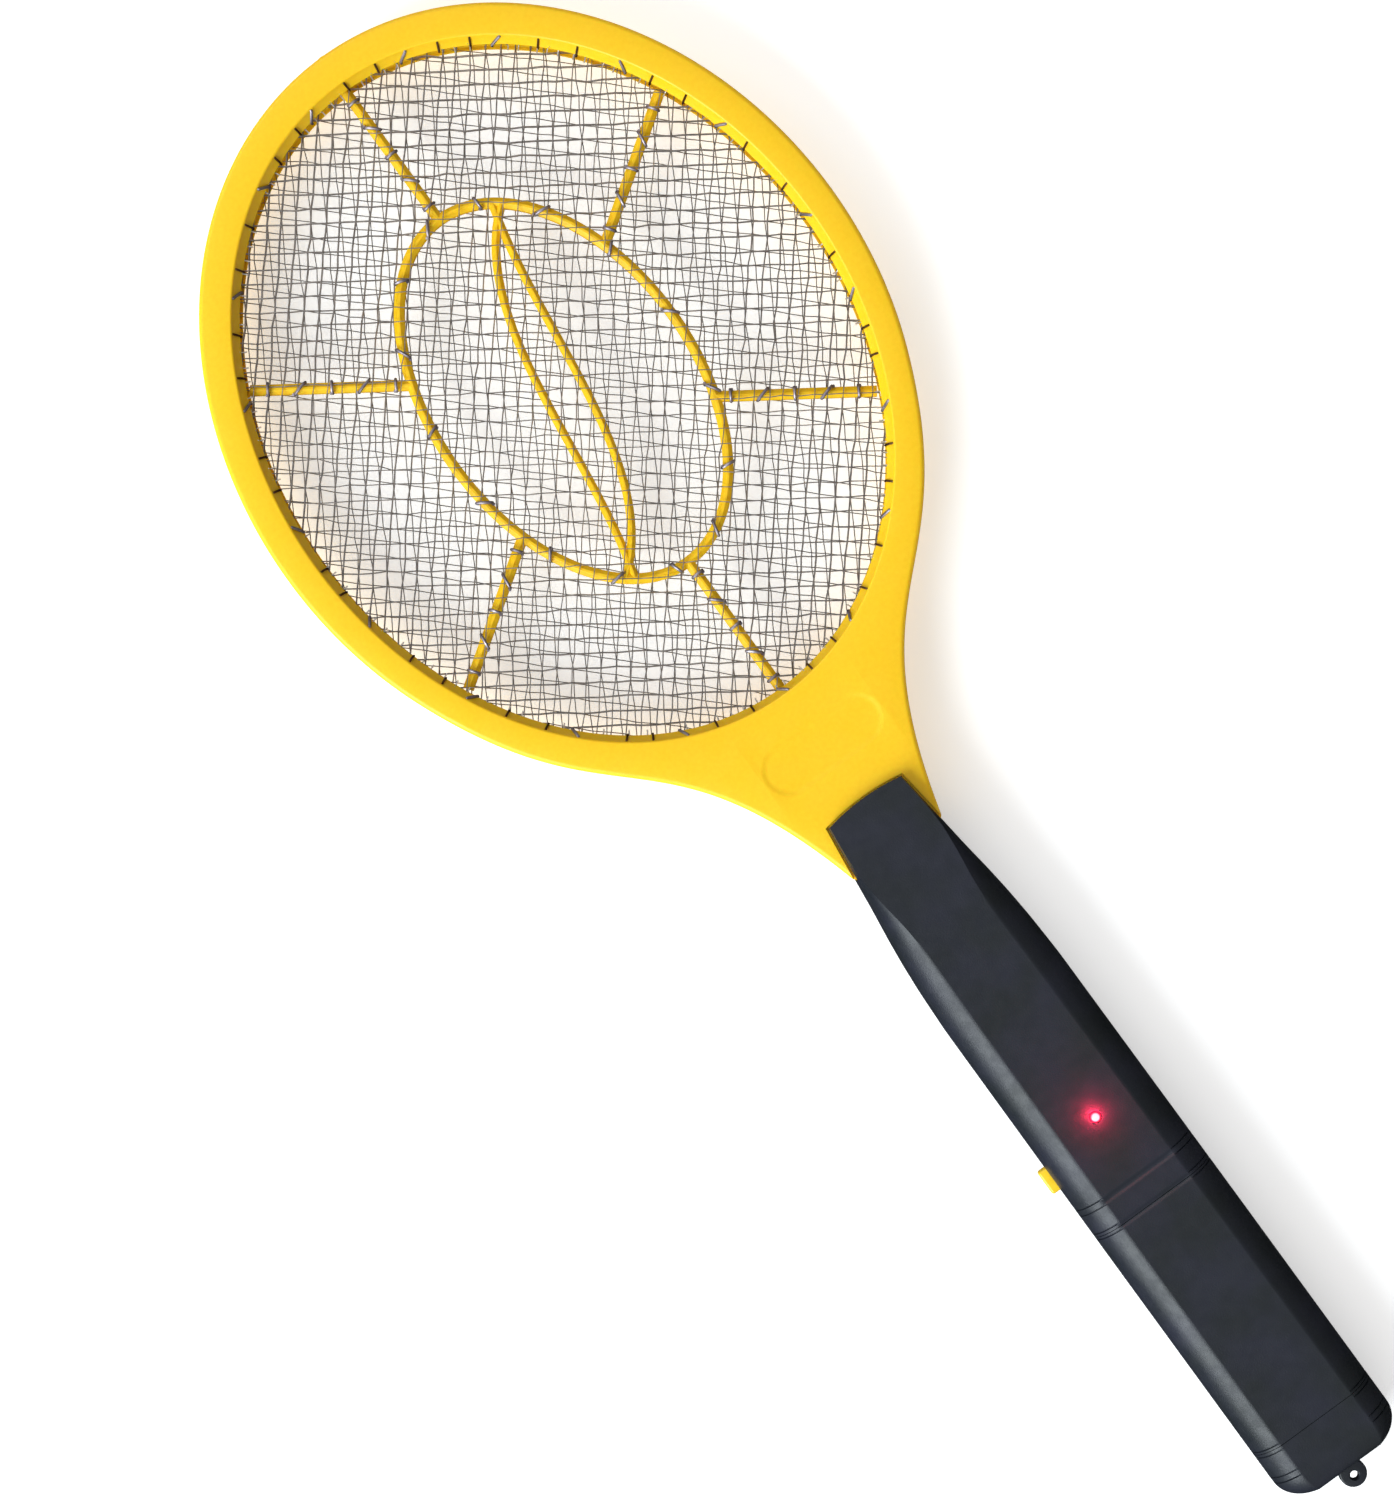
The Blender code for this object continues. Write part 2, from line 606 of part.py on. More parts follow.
def hanging_ear(made):
    """A small round ear with a hole at the end of the back shell."""
    top = level(-1, GAP / 2)
    ear = cylinder("ear", EAR_R, EAR_THICK, (0.0, EAR_Y, top - EAR_THICK / 2), steps=24)
    root_size = (2 * EAR_R, EAR_ROOT, EAR_THICK)
    join(made, ear, box("ear_root", root_size, (0.0, EAR_Y + EAR_ROOT / 2, top - EAR_THICK / 2)))
    return cylinder("ear_hole", EAR_HOLE_R, 3 * EAR_THICK, (0.0, EAR_HOLE_Y, top), steps=16)


def handle_shell_back():
    made = shell("handle_shell_back")
    shell_bosses(made, -1)
    for number, y in enumerate(BAY_WALLS_Y):
        centre = (0.0, y, level(-1, HANDLE_HALF - SHELL_WALL / 2) + HANDLE_HALF / 2)
        join(made, box("bay_wall_{}".format(number), (BAY_WIDTH, BAY_WALL, HANDLE_HALF), centre))
    ear_hole = hanging_ear(made)
    split = half_space("back_split", -1)
    cut(made, split, neck_clearance("back_neck"), side_window("back_window"), ear_hole)
    return made


def battery_cover():
    """The cover's curved plate, which fills the opening in the front shell."""
    low, high = COVER_END + GAP, COVER_TOP - GAP
    made = loft("battery_cover", [handle_section(s, 0.0) for s in between(low, high)], "black_plastic")
    cut(made, cavity("cover_cavity", low - CUTTER_OVER, high + CUTTER_OVER))
    depth = 40.0 * MM
    centre = (0.0, (low + high) / 2, level(1, COVER_RISE + GAP) - depth / 2)
    cut(made, box("cover_below", (60.0 * MM, 90.0 * MM, depth), centre))
    return made


def push_button():
    """Cap, flange and stem of the side button, along its own X axis."""
    wall_x = -GRIP_X
    out, length, height = BUTTON_SIZE
    flange_x = wall_x + SHELL_WALL + GAP + BUTTON_FLANGE[0] / 2
    cap = out + SHELL_WALL + GAP + BUTTON_FLANGE[0] / 2
    middle = (flange_x - cap / 2, BUTTON_Y, MID_Z)
    made = box("push_button", (cap, length, height), middle, "yellow_plastic")
    rounding = made.modifiers.new("round", "BEVEL")
    rounding.width = 0.5 * MM
    rounding.segments = 2
    join(made, box("button_flange", BUTTON_FLANGE, (flange_x, BUTTON_Y, MID_Z)))
    middle = (flange_x + STEM / 2, BUTTON_Y, MID_Z)
    join(made, cylinder("button_stem", STEM_R, STEM, middle, axis="X", steps=12))
    return flange_x + BUTTON_FLANGE[0] / 2, flange_x + STEM


def helix(start, radius, pitch, turns, steps=TURN_STEPS, cone=0.0):
    """Points of a coil along +X, which may narrow towards its end."""
    points = []
    for i in range(turns * steps + 1):
        angle = 2 * math.pi * i / steps
        shrink = radius - cone * i / (turns * steps)
        points.append((start[0] + pitch * i / steps, start[1] + shrink * math.cos(angle),
                       start[2] + shrink * math.sin(angle)))
    return points


def switch(flange_end, stem_end):
    """Return spring, plunger and body of the push switch behind the button."""
    plunger_x = stem_end + GAP
    body_x = plunger_x + SWITCH_STANDOFF
    made = box("switch_body", SWITCH, (body_x + SWITCH[0] / 2, BUTTON_Y, MID_Z), "black_plastic")
    bore_mouth = (body_x, BUTTON_Y, MID_Z)
    cut(made, cylinder("switch_bore", STEM_R + GAP, 1.5 * SWITCH[0], bore_mouth, axis="X", steps=12))
    middle = (plunger_x + PLUNGER / 2, BUTTON_Y, MID_Z)
    cylinder("switch_plunger", STEM_R, PLUNGER, middle, "X", "black_plastic", 12)
    span = body_x - flange_end - 2 * (GAP + SPRING_WIRE_R)
    start = (flange_end + GAP + SPRING_WIRE_R, BUTTON_Y, MID_Z)
    coil = helix(start, SPRING_R, span / SPRING_TURNS, SPRING_TURNS)
    tube("button_spring", coil, SPRING_WIRE_R, "zinc_steel")


def on_board(x, y, height):
    """A point above the circuit board, with the gap that parts keep to it."""
    return Vector((x * MM, BOARD_Y + y * MM, MID_Z + BOARD_Z + BOARD[2] / 2 + GAP + height * MM))


def part_box(name, x, y, size, material):
    size = [value * MM for value in size]
    centre = on_board(x, y, 0.0) + Vector((0.0, 0.0, size[2] / 2))
    return box(name, size, centre, material)


def circuit_board():
    box("circuit_board", BOARD, (0.0, BOARD_Y, MID_Z + BOARD_Z), "board_green")
    core = part_box("transformer_core", 0.0, 12.0, (13.0, 13.0, 9.0), "ferrite")
    cut(core, box("core_window", (8.6 * MM, 8.6 * MM, 20.0 * MM), on_board(0.0, 12.0, 4.0)))
    winding = on_board(0.0, 12.0, 4.5)
    cylinder("transformer_winding", 4.0 * MM, 8.6 * MM, winding, material="copper_winding")
    film = part_box("hv_capacitor", 0.0, -7.0, (15.0, 6.0, 10.0), "red_film")
    rounding = film.modifiers.new("round", "BEVEL")
    rounding.width = 1.2 * MM
    rounding.segments = 2
    middle = on_board(-8.0, -18.0, 2.3)
    case = cylinder("transistor", 2.3 * MM, 4.6 * MM, middle, material="ferrite", steps=16)
    cut(case, box("transistor_flat", (10.0 * MM, 3.0 * MM, 8.0 * MM), on_board(-8.0, -20.6, 2.3)))
    for i in range(3):
        diode, middle = "diode_{}".format(i + 1), on_board(-10.0, 18.0 - 7.0 * i, 1.3)
        cylinder(diode, 1.3 * MM, 5.0 * MM, middle, "Y", "ferrite", 12)
    for i in range(2):
        disc, middle = "disc_capacitor_{}".format(i + 1), on_board(10.2, 16.0 - 12.0 * i, 3.4)
        cylinder(disc, 3.4 * MM, 2.4 * MM, middle, "Y", "ceramic_blue", 16)
        resistor, middle = "resistor_{}".format(i + 1), on_board(8.5 - i, -14.5 - 4.0 * i, 1.1)
        cylinder(resistor, 1.1 * MM, 6.3 * MM, middle, "X", "resistor_tan", 12)


def lamp():
    """A small domed lamp whose tip shows in the flat face."""
    tip = 1.0 * MM
    dome = [(LAMP_R * math.sin(a), tip - LAMP_R + LAMP_R * math.cos(a)) for a in
            (math.pi / 2 * i / 4 for i in range(5))]
    dome[0] = (0.0, tip)
    rim = LAMP_R + 0.4 * MM
    body = [(LAMP_R, -4.0 * MM), (rim, -4.0 * MM), (rim, -5.0 * MM), (0.0, -5.0 * MM)]
    turned("led_lamp", dome + body, (0.0, LAMP_Y, level(1, HANDLE_HALF)), "red_lens", steps=20)


def cells():
    """Two AA cells side by side with their contacts."""
    for tag, sx in (("left", -1), ("right", 1)):
        nub = 1.3 * MM
        half = CELL_LENGTH / 2
        profile = [(0.0, half), (2.6 * MM, half), (2.6 * MM, half - nub), (CELL_R - 0.5 * MM, half - nub),
                   (CELL_R, half - nub - 0.5 * MM), (CELL_R, -half + 0.5 * MM), (CELL_R - 0.5 * MM, -half),
                   (0.0, -half)]
        place_at = (sx * CELL_X, CELL_Y, MID_Z)
        turned("cell_" + tag, profile, place_at, "cell_wrap", 24, (0.0, -float(sx), 0.0))
    contacts()


def contacts():
    """Plates on the bay's end walls and a conical spring against each negative end."""
    top = BAY_WALLS_Y[0] - BAY_WALL / 2 - CONTACT_GAP
    bottom = BAY_WALLS_Y[1] + BAY_WALL / 2 + CONTACT_GAP
    height = level(-1, CONTACT_LOW)
    thick = CONTACT_SIZE[1]
    for tag, sx in (("left", -1), ("right", 1)):
        centre = (sx * CELL_X, top - thick / 2, height)
        box("contact_plate_" + tag, CONTACT_SIZE, centre, "zinc_steel")
    bridge = (2 * CELL_X + CONTACT_SIZE[0], thick, CONTACT_SIZE[2])
    box("contact_bridge", bridge, (0.0, bottom + thick / 2, height), "zinc_steel")
    wire = 0.35 * MM
    near = GAP + wire
    half = CELL_LENGTH / 2
    spans = {"left": (top - thick - near, CELL_Y + half + near),
             "right": (bottom + thick + near, CELL_Y - half - near)}
    for tag, sx in (("left", -1), ("right", 1)):
        start, end = spans[tag]
        coil = helix((0.0, 0.0, 0.0), CONTACT_R, (end - start) / 3, 3, cone=1.2 * MM)
        points = [(sx * CELL_X + y, start + x, height + z) for x, y, z in coil]
        tube("contact_spring_" + tag, points, wire, "zinc_steel")


def smooth_route(knots, steps=5):
    """A Catmull-Rom curve through a lead's own points."""
    points = [Vector(k) for k in knots]
    padded = [points[0]] + points + [points[-1]]
    route = []
    for a, b, c, d in zip(padded, padded[1:], padded[2:], padded[3:]):
        for i in range(steps):
            t = i / steps
            route.append(0.5 * (2 * b + (c - a) * t + (2 * a - 5 * b + 4 * c - d) * t * t
                                + (3 * b - a - 3 * c + d) * t ** 3))
    route.append(points[-1])
    return route


def leads():
    """Three net leads in the neck and two battery leads over the bay's wall."""
    net_end = OPEN_Y - OPEN_LONG - NET_MARGIN - 0.9 * MM
    routes = {"ground_lead_front": (-6.2, 2.4, "black_insulation"), "hv_lead": (6.2, 0.0, "red_insulation"),
              "ground_lead_back": (-4.6, -2.4, "black_insulation")}
    for name, (x, z, material) in routes.items():
        x, z = x * MM, MID_Z + z * MM
        solder = MID_Z + BOARD_Z + BOARD[2] / 2 + GAP + LEAD_R
        knots = ((x, net_end, z), (x, -10.0 * MM, z), (x, -44.0 * MM, z), (x, -52.0 * MM, MID_Z - 3.0 * MM),
                 (x, -58.0 * MM, solder), (x, -62.0 * MM, solder))
        tube(name, smooth_route(knots, 4), LEAD_R, material)
    for name, x, material in (("battery_lead_red", CELL_X, "red_insulation"),
                              ("battery_lead_black", -CELL_X, "black_insulation")):
        over = MID_Z + 6.4 * MM
        knots = ((x, -142.4 * MM, MID_Z + 4.5 * MM), (x, -142.2 * MM, over - MM), (x, -140.0 * MM, over),
                 (x, -136.0 * MM, over - 3 * MM), (x, -126.0 * MM, MID_Z - 4.0 * MM),
                 (x, -112.0 * MM, MID_Z + BOARD_Z), (x, BOARD_Y - BOARD[1] / 2 - GAP, MID_Z + BOARD_Z))
        tube(name, smooth_route(knots, 4), LEAD_R, material)


def screw_solid(name, x, y, seat_z, length):
    """A cross-recess screw with its head down and its point up."""
    head_r, head_h = SCREW_HEAD
    point = [(0.0, length), (SCREW_R * 0.5, length - 0.4 * MM), (SCREW_R, length - 1.6 * MM)]
    head = [(head_r, 0.0), (head_r, -0.6 * head_h), (head_r * 0.7, -head_h), (0.0, -head_h)]
    profile = point + [(SCREW_R, 0.0)] + head
    made = turned(name, profile, (x, y, seat_z), "zinc_steel", 12)
    long, wide, deep = SCREW_SLOT
    for tag, size in (("a", (long, wide, 2 * deep)), ("b", (wide, long, 2 * deep))):
        cut(made, box("{}_slot_{}".format(name, tag), size, (x, y, seat_z - head_h)))


def screws():
    for number, (x, y) in enumerate(head_screw_places()):
        in_neck = number - len(HEAD_SCREW_ANGLES)
        name = "head_screw_{}".format(number + 1) if in_neck < 0 else "neck_screw_{}".format(in_neck + 1)
        screw_solid(name, x, y, level(-1, HEAD_HALF - SCREW_HEAD[1]), HEAD_SCREW_LENGTH)
    for number, y in enumerate(HANDLE_SCREWS_Y):
        seat = level(-1, HANDLE_HALF - HANDLE_SEAT) - GAP
        screw_solid("handle_screw_{}".format(number + 1), 0.0, y, seat, HANDLE_SCREW_LENGTH)


def build():
    head_frame("head_frame_back", -1)
    neck_recess(head_frame("head_frame_front", 1), 1)
    net("net_front", level(1, NET_RISE), NET_FINE)
    net("net_middle", MID_Z, NET_COARSE)
    net("net_back", level(-1, NET_RISE), NET_FINE)
    spacer_grid("spacer_grid_front", 1)
    spacer_grid("spacer_grid_back", -1)
    handle_shell_front()
    handle_shell_back()
    battery_cover()
    switch(*push_button())
    circuit_board()
    lamp()
    cells()
    leads()
    screws()


build()
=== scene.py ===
"""Looks of the electric fly swatter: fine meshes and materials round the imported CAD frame.

X runs across the racket with the push button on -X, Y runs along it with the head on +Y, and +Z
is the face with the lamp. Outlines are worked out in millimetres and scaled when a mesh is made.
"""
import json
import math

import bmesh
import bpy
import numpy as np
from mathutils import Matrix, Vector


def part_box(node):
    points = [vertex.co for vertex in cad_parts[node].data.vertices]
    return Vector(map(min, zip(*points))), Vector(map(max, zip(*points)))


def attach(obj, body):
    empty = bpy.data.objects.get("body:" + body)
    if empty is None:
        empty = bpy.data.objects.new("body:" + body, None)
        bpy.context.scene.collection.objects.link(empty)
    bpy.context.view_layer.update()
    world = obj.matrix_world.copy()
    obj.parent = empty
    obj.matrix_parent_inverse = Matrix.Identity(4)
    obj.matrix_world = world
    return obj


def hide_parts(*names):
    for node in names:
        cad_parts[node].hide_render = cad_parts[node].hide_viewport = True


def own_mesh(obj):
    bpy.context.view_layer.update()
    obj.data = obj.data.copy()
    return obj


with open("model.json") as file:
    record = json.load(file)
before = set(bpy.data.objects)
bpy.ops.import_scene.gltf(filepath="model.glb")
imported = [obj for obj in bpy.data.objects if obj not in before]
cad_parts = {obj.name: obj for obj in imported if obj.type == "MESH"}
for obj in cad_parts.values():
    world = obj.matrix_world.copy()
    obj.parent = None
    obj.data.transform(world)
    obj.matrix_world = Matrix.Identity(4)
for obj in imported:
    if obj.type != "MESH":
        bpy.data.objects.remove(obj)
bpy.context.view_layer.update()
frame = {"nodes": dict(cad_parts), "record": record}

MM = 0.001
SHARP = math.radians(30.0)  # edges that turn by more are shaded sharp
GAP = 0.3  # free room between parts that meet
ROD_TURN = 0.05  # keeps the corners of cutters off the handle's middle line

# Heights that come from the CAD frame, in millimetres
MID_Z = (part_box("head_frame_back")[1].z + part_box("head_frame_front")[0].z) / 2 / MM
HEAD_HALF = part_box("head_frame_front")[1].z / MM - MID_Z
HANDLE_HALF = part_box("handle_shell_front")[1].z / MM - MID_Z
NET_Z = {side: sum(corner.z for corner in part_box("net_" + side)) / 2 / MM
         for side in ("front", "middle", "back")}

# Head outline: outer ellipse, opening, and the neck's Bezier side
HEAD_Y, HEAD_LONG, HEAD_WIDE = 124.3, 105.8, 87.5
OPEN_Y, OPEN_LONG, OPEN_WIDE = 123.0, 96.6, 77.6
NECK_LEAVE_Y = 77.9
NECK_TIP = np.array((14.1, -25.9))
NECK_REACH_HEAD, NECK_REACH_TIP = 61.1, 67.0
NECK_TIP_SLOPE = 0.26
TIP_FILLET = 1.7
FRAME_WALL = 1.8
LIP_LOW = 3.7  # height of the lip's underside above the parting plane
POCKET = 3.2  # depth of the net's pocket behind the opening's wall
OUTER_ROUND = 1.35
INNER_ROUND = 0.7
DRAFT = 1.6  # how far the opening's wall leans back towards the face
TONGUE_X, TONGUE_END, TONGUE_HALF = 9.5, -48.0, 5.2
CHANNEL_X, CHANNEL_HALF = 8.0, 3.7
RECESS = (35.0, 13.0, 0.3)  # length, width and depth of the plain pill in the neck's face
RECESS_Y = 8.1
COLLAR, COLLAR_DEEP = 0.45, 1.2  # width and depth of the step round the shell's top
COLLAR_LOW = -28.0
POST_R = 3.1

# Nets
PITCH = 3.85
WIRE_R = 0.14
NET_MARGIN = 2.4  # how far the nets run on behind the opening's edge
NET_REACH = 110.0  # no point of a net is further from the opening's middle
WIRE_SWAY, CROSSING_SWAY = 0.10, 0.15  # how unevenly wires and crossings lie
WEAVE_TURN = math.radians(-35.9)  # the direction of the weave's level rows
# Per net: turn of the rows and of the columns in degrees, shift of both in millimetres, seed
WEAVES = {"front": (2.0, -4.5, (0.0, 0.0), 1),
          "middle": (2.0, -4.5, (0.24, 0.1), 1),
          "back": (-7.5, 5.0, (1.1, 0.7), 2)}
HOOK_R, TIE_R, WIRE_END_R = 0.3, 0.42, 0.2
HOOKS, WIRE_ENDS = 56, 150

# Spacer grids
GRID_LOW, GRID_HIGH = 0.75, 2.15
RIB, LENS_SHARE = 2.8, 0.8  # width of a rib, and the lens bars' share of it
RING_LONG, RING_WIDE = 55.5, 34.9
SPOKE = ((31.2, 24.6), (66.4, 48.5))  # both ends of the slanting spokes, from the opening's middle
LENS = ((13.9, 51.0), (3.5, 16.6), (9.6, -29.3), (-15.8, -49.4))
RING_POINTS = 120

# Handle: (Y, half width, half width of the flat face, half thickness on the front)
HANDLE = np.array((
    (-9.4, 11.8, 11.2, 11.0), (-14.0, 12.3, 11.8, 11.3), (-20.0, 13.1, 12.4, 11.7),
    (-27.0, 14.0, 12.7, 12.1), (-35.0, 14.9, 11.9, 12.4), (-43.0, 16.0, 10.8, 12.7),
    (-51.0, 16.9, 10.3, 12.9), (-60.0, 17.6, 10.4, 13.0), (-72.0, 18.1, 10.6, 13.0),
    (-150.0, 18.3, 11.1, 13.0), (-218.0, 18.3, 11.4, 13.0)))
HANDLE_TOP, HANDLE_END = -9.4, -224.3
END_ROUND = 6.5  # corner radius of the handle's end in plan
END_THIN = 2.6  # how much thinner each half is at the end
TOP_ARCH = 1.2  # how far the top edge's corners lie below its middle
SIDE_FLAT = 3.0
CORNER_STEPS = 16
SHELL_WALL = 2.2
CAVITY_TOP, CAVITY_END = -27.5, -221.0
RINGS = ((-130.6, 1.0), (-138.2, 1.0), (-208.8, 0.0), (-216.9, 0.0))  # Y, strength on the flat
RING_LAND, RING_GROOVE = 0.72, 0.17  # half width of the land, half width of a groove
RING_DEEP = 0.42  # depth of a groove on the shoulders
BAND_HALF, BAND_DEEP = 1.3, 0.42  # half width and depth of a ring's hollow on the flat face
COVER_TOP, COVER_END, COVER_RISE = -138.2, -208.8, 3.0
BAY_WALLS_Y = (-140.2, -207.6)
BAY_WALL_X, BAY_WALL_HALF, BAY_WALL_LOW = 14.7, 0.73, 1.3

BUTTON_Y, BUTTON_TRAVEL = -119.6, 1.5
SPRING_TURNS, SPRING_WIRE_R = 4, 0.22
CAP_HALF = (3.45, 2.5)  # half length and half height of the button's cap
FLANGE_X = (-15.8, -14.6)  # the button's flange, which stays inside the shell
LAMP_Y, LAMP_R, LAMP_RISE = -111.5, 1.5, 1.0
GLOW_RISE, GLOW_POWER = 4.5, 0.016
EAR_R, EAR_Y, EAR_HOLE_Y, EAR_HOLE_R, EAR_THICK = 3.7, -229.0, -229.6, 1.15, 3.2

HEAD_SCREW_ANGLES = (-20.0, 30.0, 90.0, 150.0, 200.0)
NECK_SCREWS = ((-19.0, 16.0), (19.0, 16.0))
HANDLE_SCREWS_Y = (-37.0, -133.5, -213.6)
SCREW_R, SCREW_HEAD_R, SCREW_HEAD_H = 1.2, 2.4, 1.5
HANDLE_SEAT = 4.0

# View: straight down on the racket's face
VIEW_HEIGHT = 0.96
VIEW_AT = (-27.3 * MM, 26.2 * MM)
VIEW_TURN = math.radians(-36.12)
VIEW_TALL = 0.3910  # what the picture's height covers on the head's face
SENSOR = 36.0
SKY_LEFT, SKY_RIGHT, SKY_UNDER = 0.56, 0.22, 0.06
FLOOR_GLOW, FLOOR_REACH = 0.42, 12000.0
# Softboxes: place, target, size, radiance, tint
SOFTBOXES = {"key": ((-1.35, -0.3, 0.85), (0.0, 0.0, 0.0), (1.1, 1.3), 9.0, (0.88, 0.96, 1.0)),
             "head_fill": ((-0.3, 1.7, 1.5), (0.0, 0.1, 0.0), (1.8, 1.4), 2.0, (1.0, 1.0, 1.0))}


# ---- mesh helpers

def new_object(name, data):
    """A new object in the scene for a mesh, light or camera."""
    made = bpy.data.objects.new(name, data)
    bpy.context.scene.collection.objects.link(made)
    return made


def cad_box(node):
    """Both corners of a CAD node's box in millimetres."""
    return [np.array(corner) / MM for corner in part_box(node)]


def unit(rows):
    """Vectors of length 1, row for row."""
    return rows / np.linalg.norm(rows, axis=1)[:, None]


def raised(outline, height):
    """An outline of (x, y) points at one height."""
    return np.column_stack([outline, np.full(len(outline), height)])


def cut(*tools):
    return [("DIFFERENCE", tool) for tool in tools]


def join(*tools):
    return [("UNION", tool) for tool in tools]


def make(name, verts, faces, material=None):
    """A mesh object from points in millimetres, shaded smooth with sharp edges."""
    mesh = bpy.data.meshes.new(name)
    mesh.from_pydata([tuple(v) for v in np.asarray(verts, float) * MM], [], [tuple(f) for f in faces])
    return finish(name, mesh, material)


def finish(name, mesh, material=None):
    """An object for a mesh, with normals that point outwards."""
    shape = bmesh.new()
    shape.from_mesh(mesh)
    bmesh.ops.recalc_face_normals(shape, faces=shape.faces)
    shape.to_mesh(mesh)
    shape.free()
    mesh.validate()
    mesh.shade_smooth()
    mesh.set_sharp_from_angle(angle=SHARP)
    if material:
        mesh.materials.append(material)
    return new_object(name, mesh)


def stack(loops, closed=False):
    """Points and faces of a skin over loops that share a point count."""
    count = len(loops[0])
    verts = np.concatenate([np.asarray(loop, float) for loop in loops])
    rows = [(i, (i + 1) % len(loops)) for i in range(len(loops) if closed else len(loops) - 1)]
    faces = []
    for a, b in rows:
        for i in range(count):
            j = (i + 1) % count
            faces.append((a * count + i, a * count + j, b * count + j, b * count + i))
    if not closed:
        faces.append(tuple(range(count)))
        faces.append(tuple(range((len(loops) - 1) * count, len(loops) * count)))
    return verts, faces


def block(name, low, high, bevel=0.0, segments=3):
    """A box between two corners, with rounded edges where bevel is given."""
    low, high = np.array(low, float), np.array(high, float)
    shape = bmesh.new()
    bmesh.ops.create_cube(shape, size=1.0)
    for vert in shape.verts:
        vert.co = Vector((low + high) / 2 * MM) + Vector(np.array(vert.co) * (high - low) * MM)
    if bevel:
        bmesh.ops.bevel(shape, geom=shape.edges[:], offset=bevel * MM, segments=segments, profile=0.5,
                        affect="EDGES")
    mesh = bpy.data.meshes.new(name)
    shape.to_mesh(mesh)
    shape.free()
    return finish(name, mesh)


def lathe(name, profile, steps, axis="Z", at=(0.0, 0.0, 0.0)):
    """A profile of (radius, height) points turned about an axis; its ends close on the axis."""
    angles = np.arange(steps) * 2 * math.pi / steps
    circle = np.stack([np.cos(angles), np.sin(angles)], 1)
    verts, faces = stack([raised(r * circle, h) for r, h in profile])
    if axis == "Y":
        verts = verts[:, [0, 2, 1]] * (1, 1, -1)
    if axis == "X":
        verts = verts[:, [2, 1, 0]] * (1, 1, -1)
    return make(name, verts + np.array(at), faces)


def merge(name, parts):
    """One object out of several separate closed meshes."""
    verts, faces, start = [], [], 0
    for points, polygons in parts:
        verts.append(points)
        faces += [tuple(i + start for i in polygon) for polygon in polygons]
        start += len(points)
    return make(name, np.concatenate(verts), faces)


def rods(places, radius, low, high, steps=24):
    """Upright cylinders at several places, for a cutter or a set of posts."""
    angles = ROD_TURN + np.arange(steps) * 2 * math.pi / steps
    circle = np.stack([radius * np.cos(angles), radius * np.sin(angles)], 1)
    parts = [stack([raised(circle + place, z) for z in (low, high)]) for place in places]
    return merge("rods", parts)


def solve(body, steps):
    """Applies Boolean steps to a body and removes the tools."""
    for operation, tool in steps:
        step = body.modifiers.new(operation, "BOOLEAN")
        step.operation, step.object, step.solver = operation, tool, "EXACT"
    evaluated = body.evaluated_get(bpy.context.evaluated_depsgraph_get())
    mesh = bpy.data.meshes.new_from_object(evaluated)
    name = body.name
    for tool in {tool for _, tool in steps}:
        bpy.data.objects.remove(tool, do_unlink=True)
    bpy.data.objects.remove(body, do_unlink=True)
    mesh.materials.clear()
    return finish(name, mesh)


def dress(piece, slot, *nodes, body="racket", look=None):
    """Gives a piece the material of its slot, or of look where that is given, puts it in its body, and
    hides the CAD nodes that it stands for.
    """
    piece.data.materials.clear()
    piece.data.materials.append(MATERIALS[look or slot])
    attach(piece, body)
    if nodes:
        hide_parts(*nodes)


# ---- head

def bezier(knots, t):
    t = np.asarray(t)[:, None]
    a, b, c, d = (np.asarray(knot, float) for knot in knots)
    return (1 - t) ** 3 * a + 3 * (1 - t) ** 2 * t * b + 3 * (1 - t) * t * t * c + t ** 3 * d


def neck_side(steps):
    """The neck's side from the head's ellipse down, and the fillet at its lower corner."""
    rise = (NECK_LEAVE_Y - HEAD_Y) / HEAD_LONG
    start = np.array((HEAD_WIDE * math.sqrt(1 - rise * rise), NECK_LEAVE_Y))
    slope = -(HEAD_WIDE / HEAD_LONG) ** 2 * (NECK_LEAVE_Y - HEAD_Y) / start[0]
    leave = np.array((-slope, -1.0)) / math.hypot(slope, 1.0)
    arrive = np.array((NECK_TIP_SLOPE, 1.0)) / math.hypot(NECK_TIP_SLOPE, 1.0)
    knots = (start, start + leave * NECK_REACH_HEAD, NECK_TIP + arrive * NECK_REACH_TIP, NECK_TIP)
    side = bezier(knots, np.linspace(0, 1, steps))
    turn = math.acos(arrive[0])
    trim = TIP_FILLET * math.tan(turn / 2)
    reach = TIP_FILLET * 4 / 3 * math.tan(turn / 4)
    first, last = NECK_TIP + arrive * trim, NECK_TIP - (trim, 0.0)
    corner = (first, first - arrive * reach, last + (reach, 0.0), last)
    side = side[side[:, 1] > first[1] + 0.5]
    return side, bezier(corner, np.linspace(0, 1, 9))


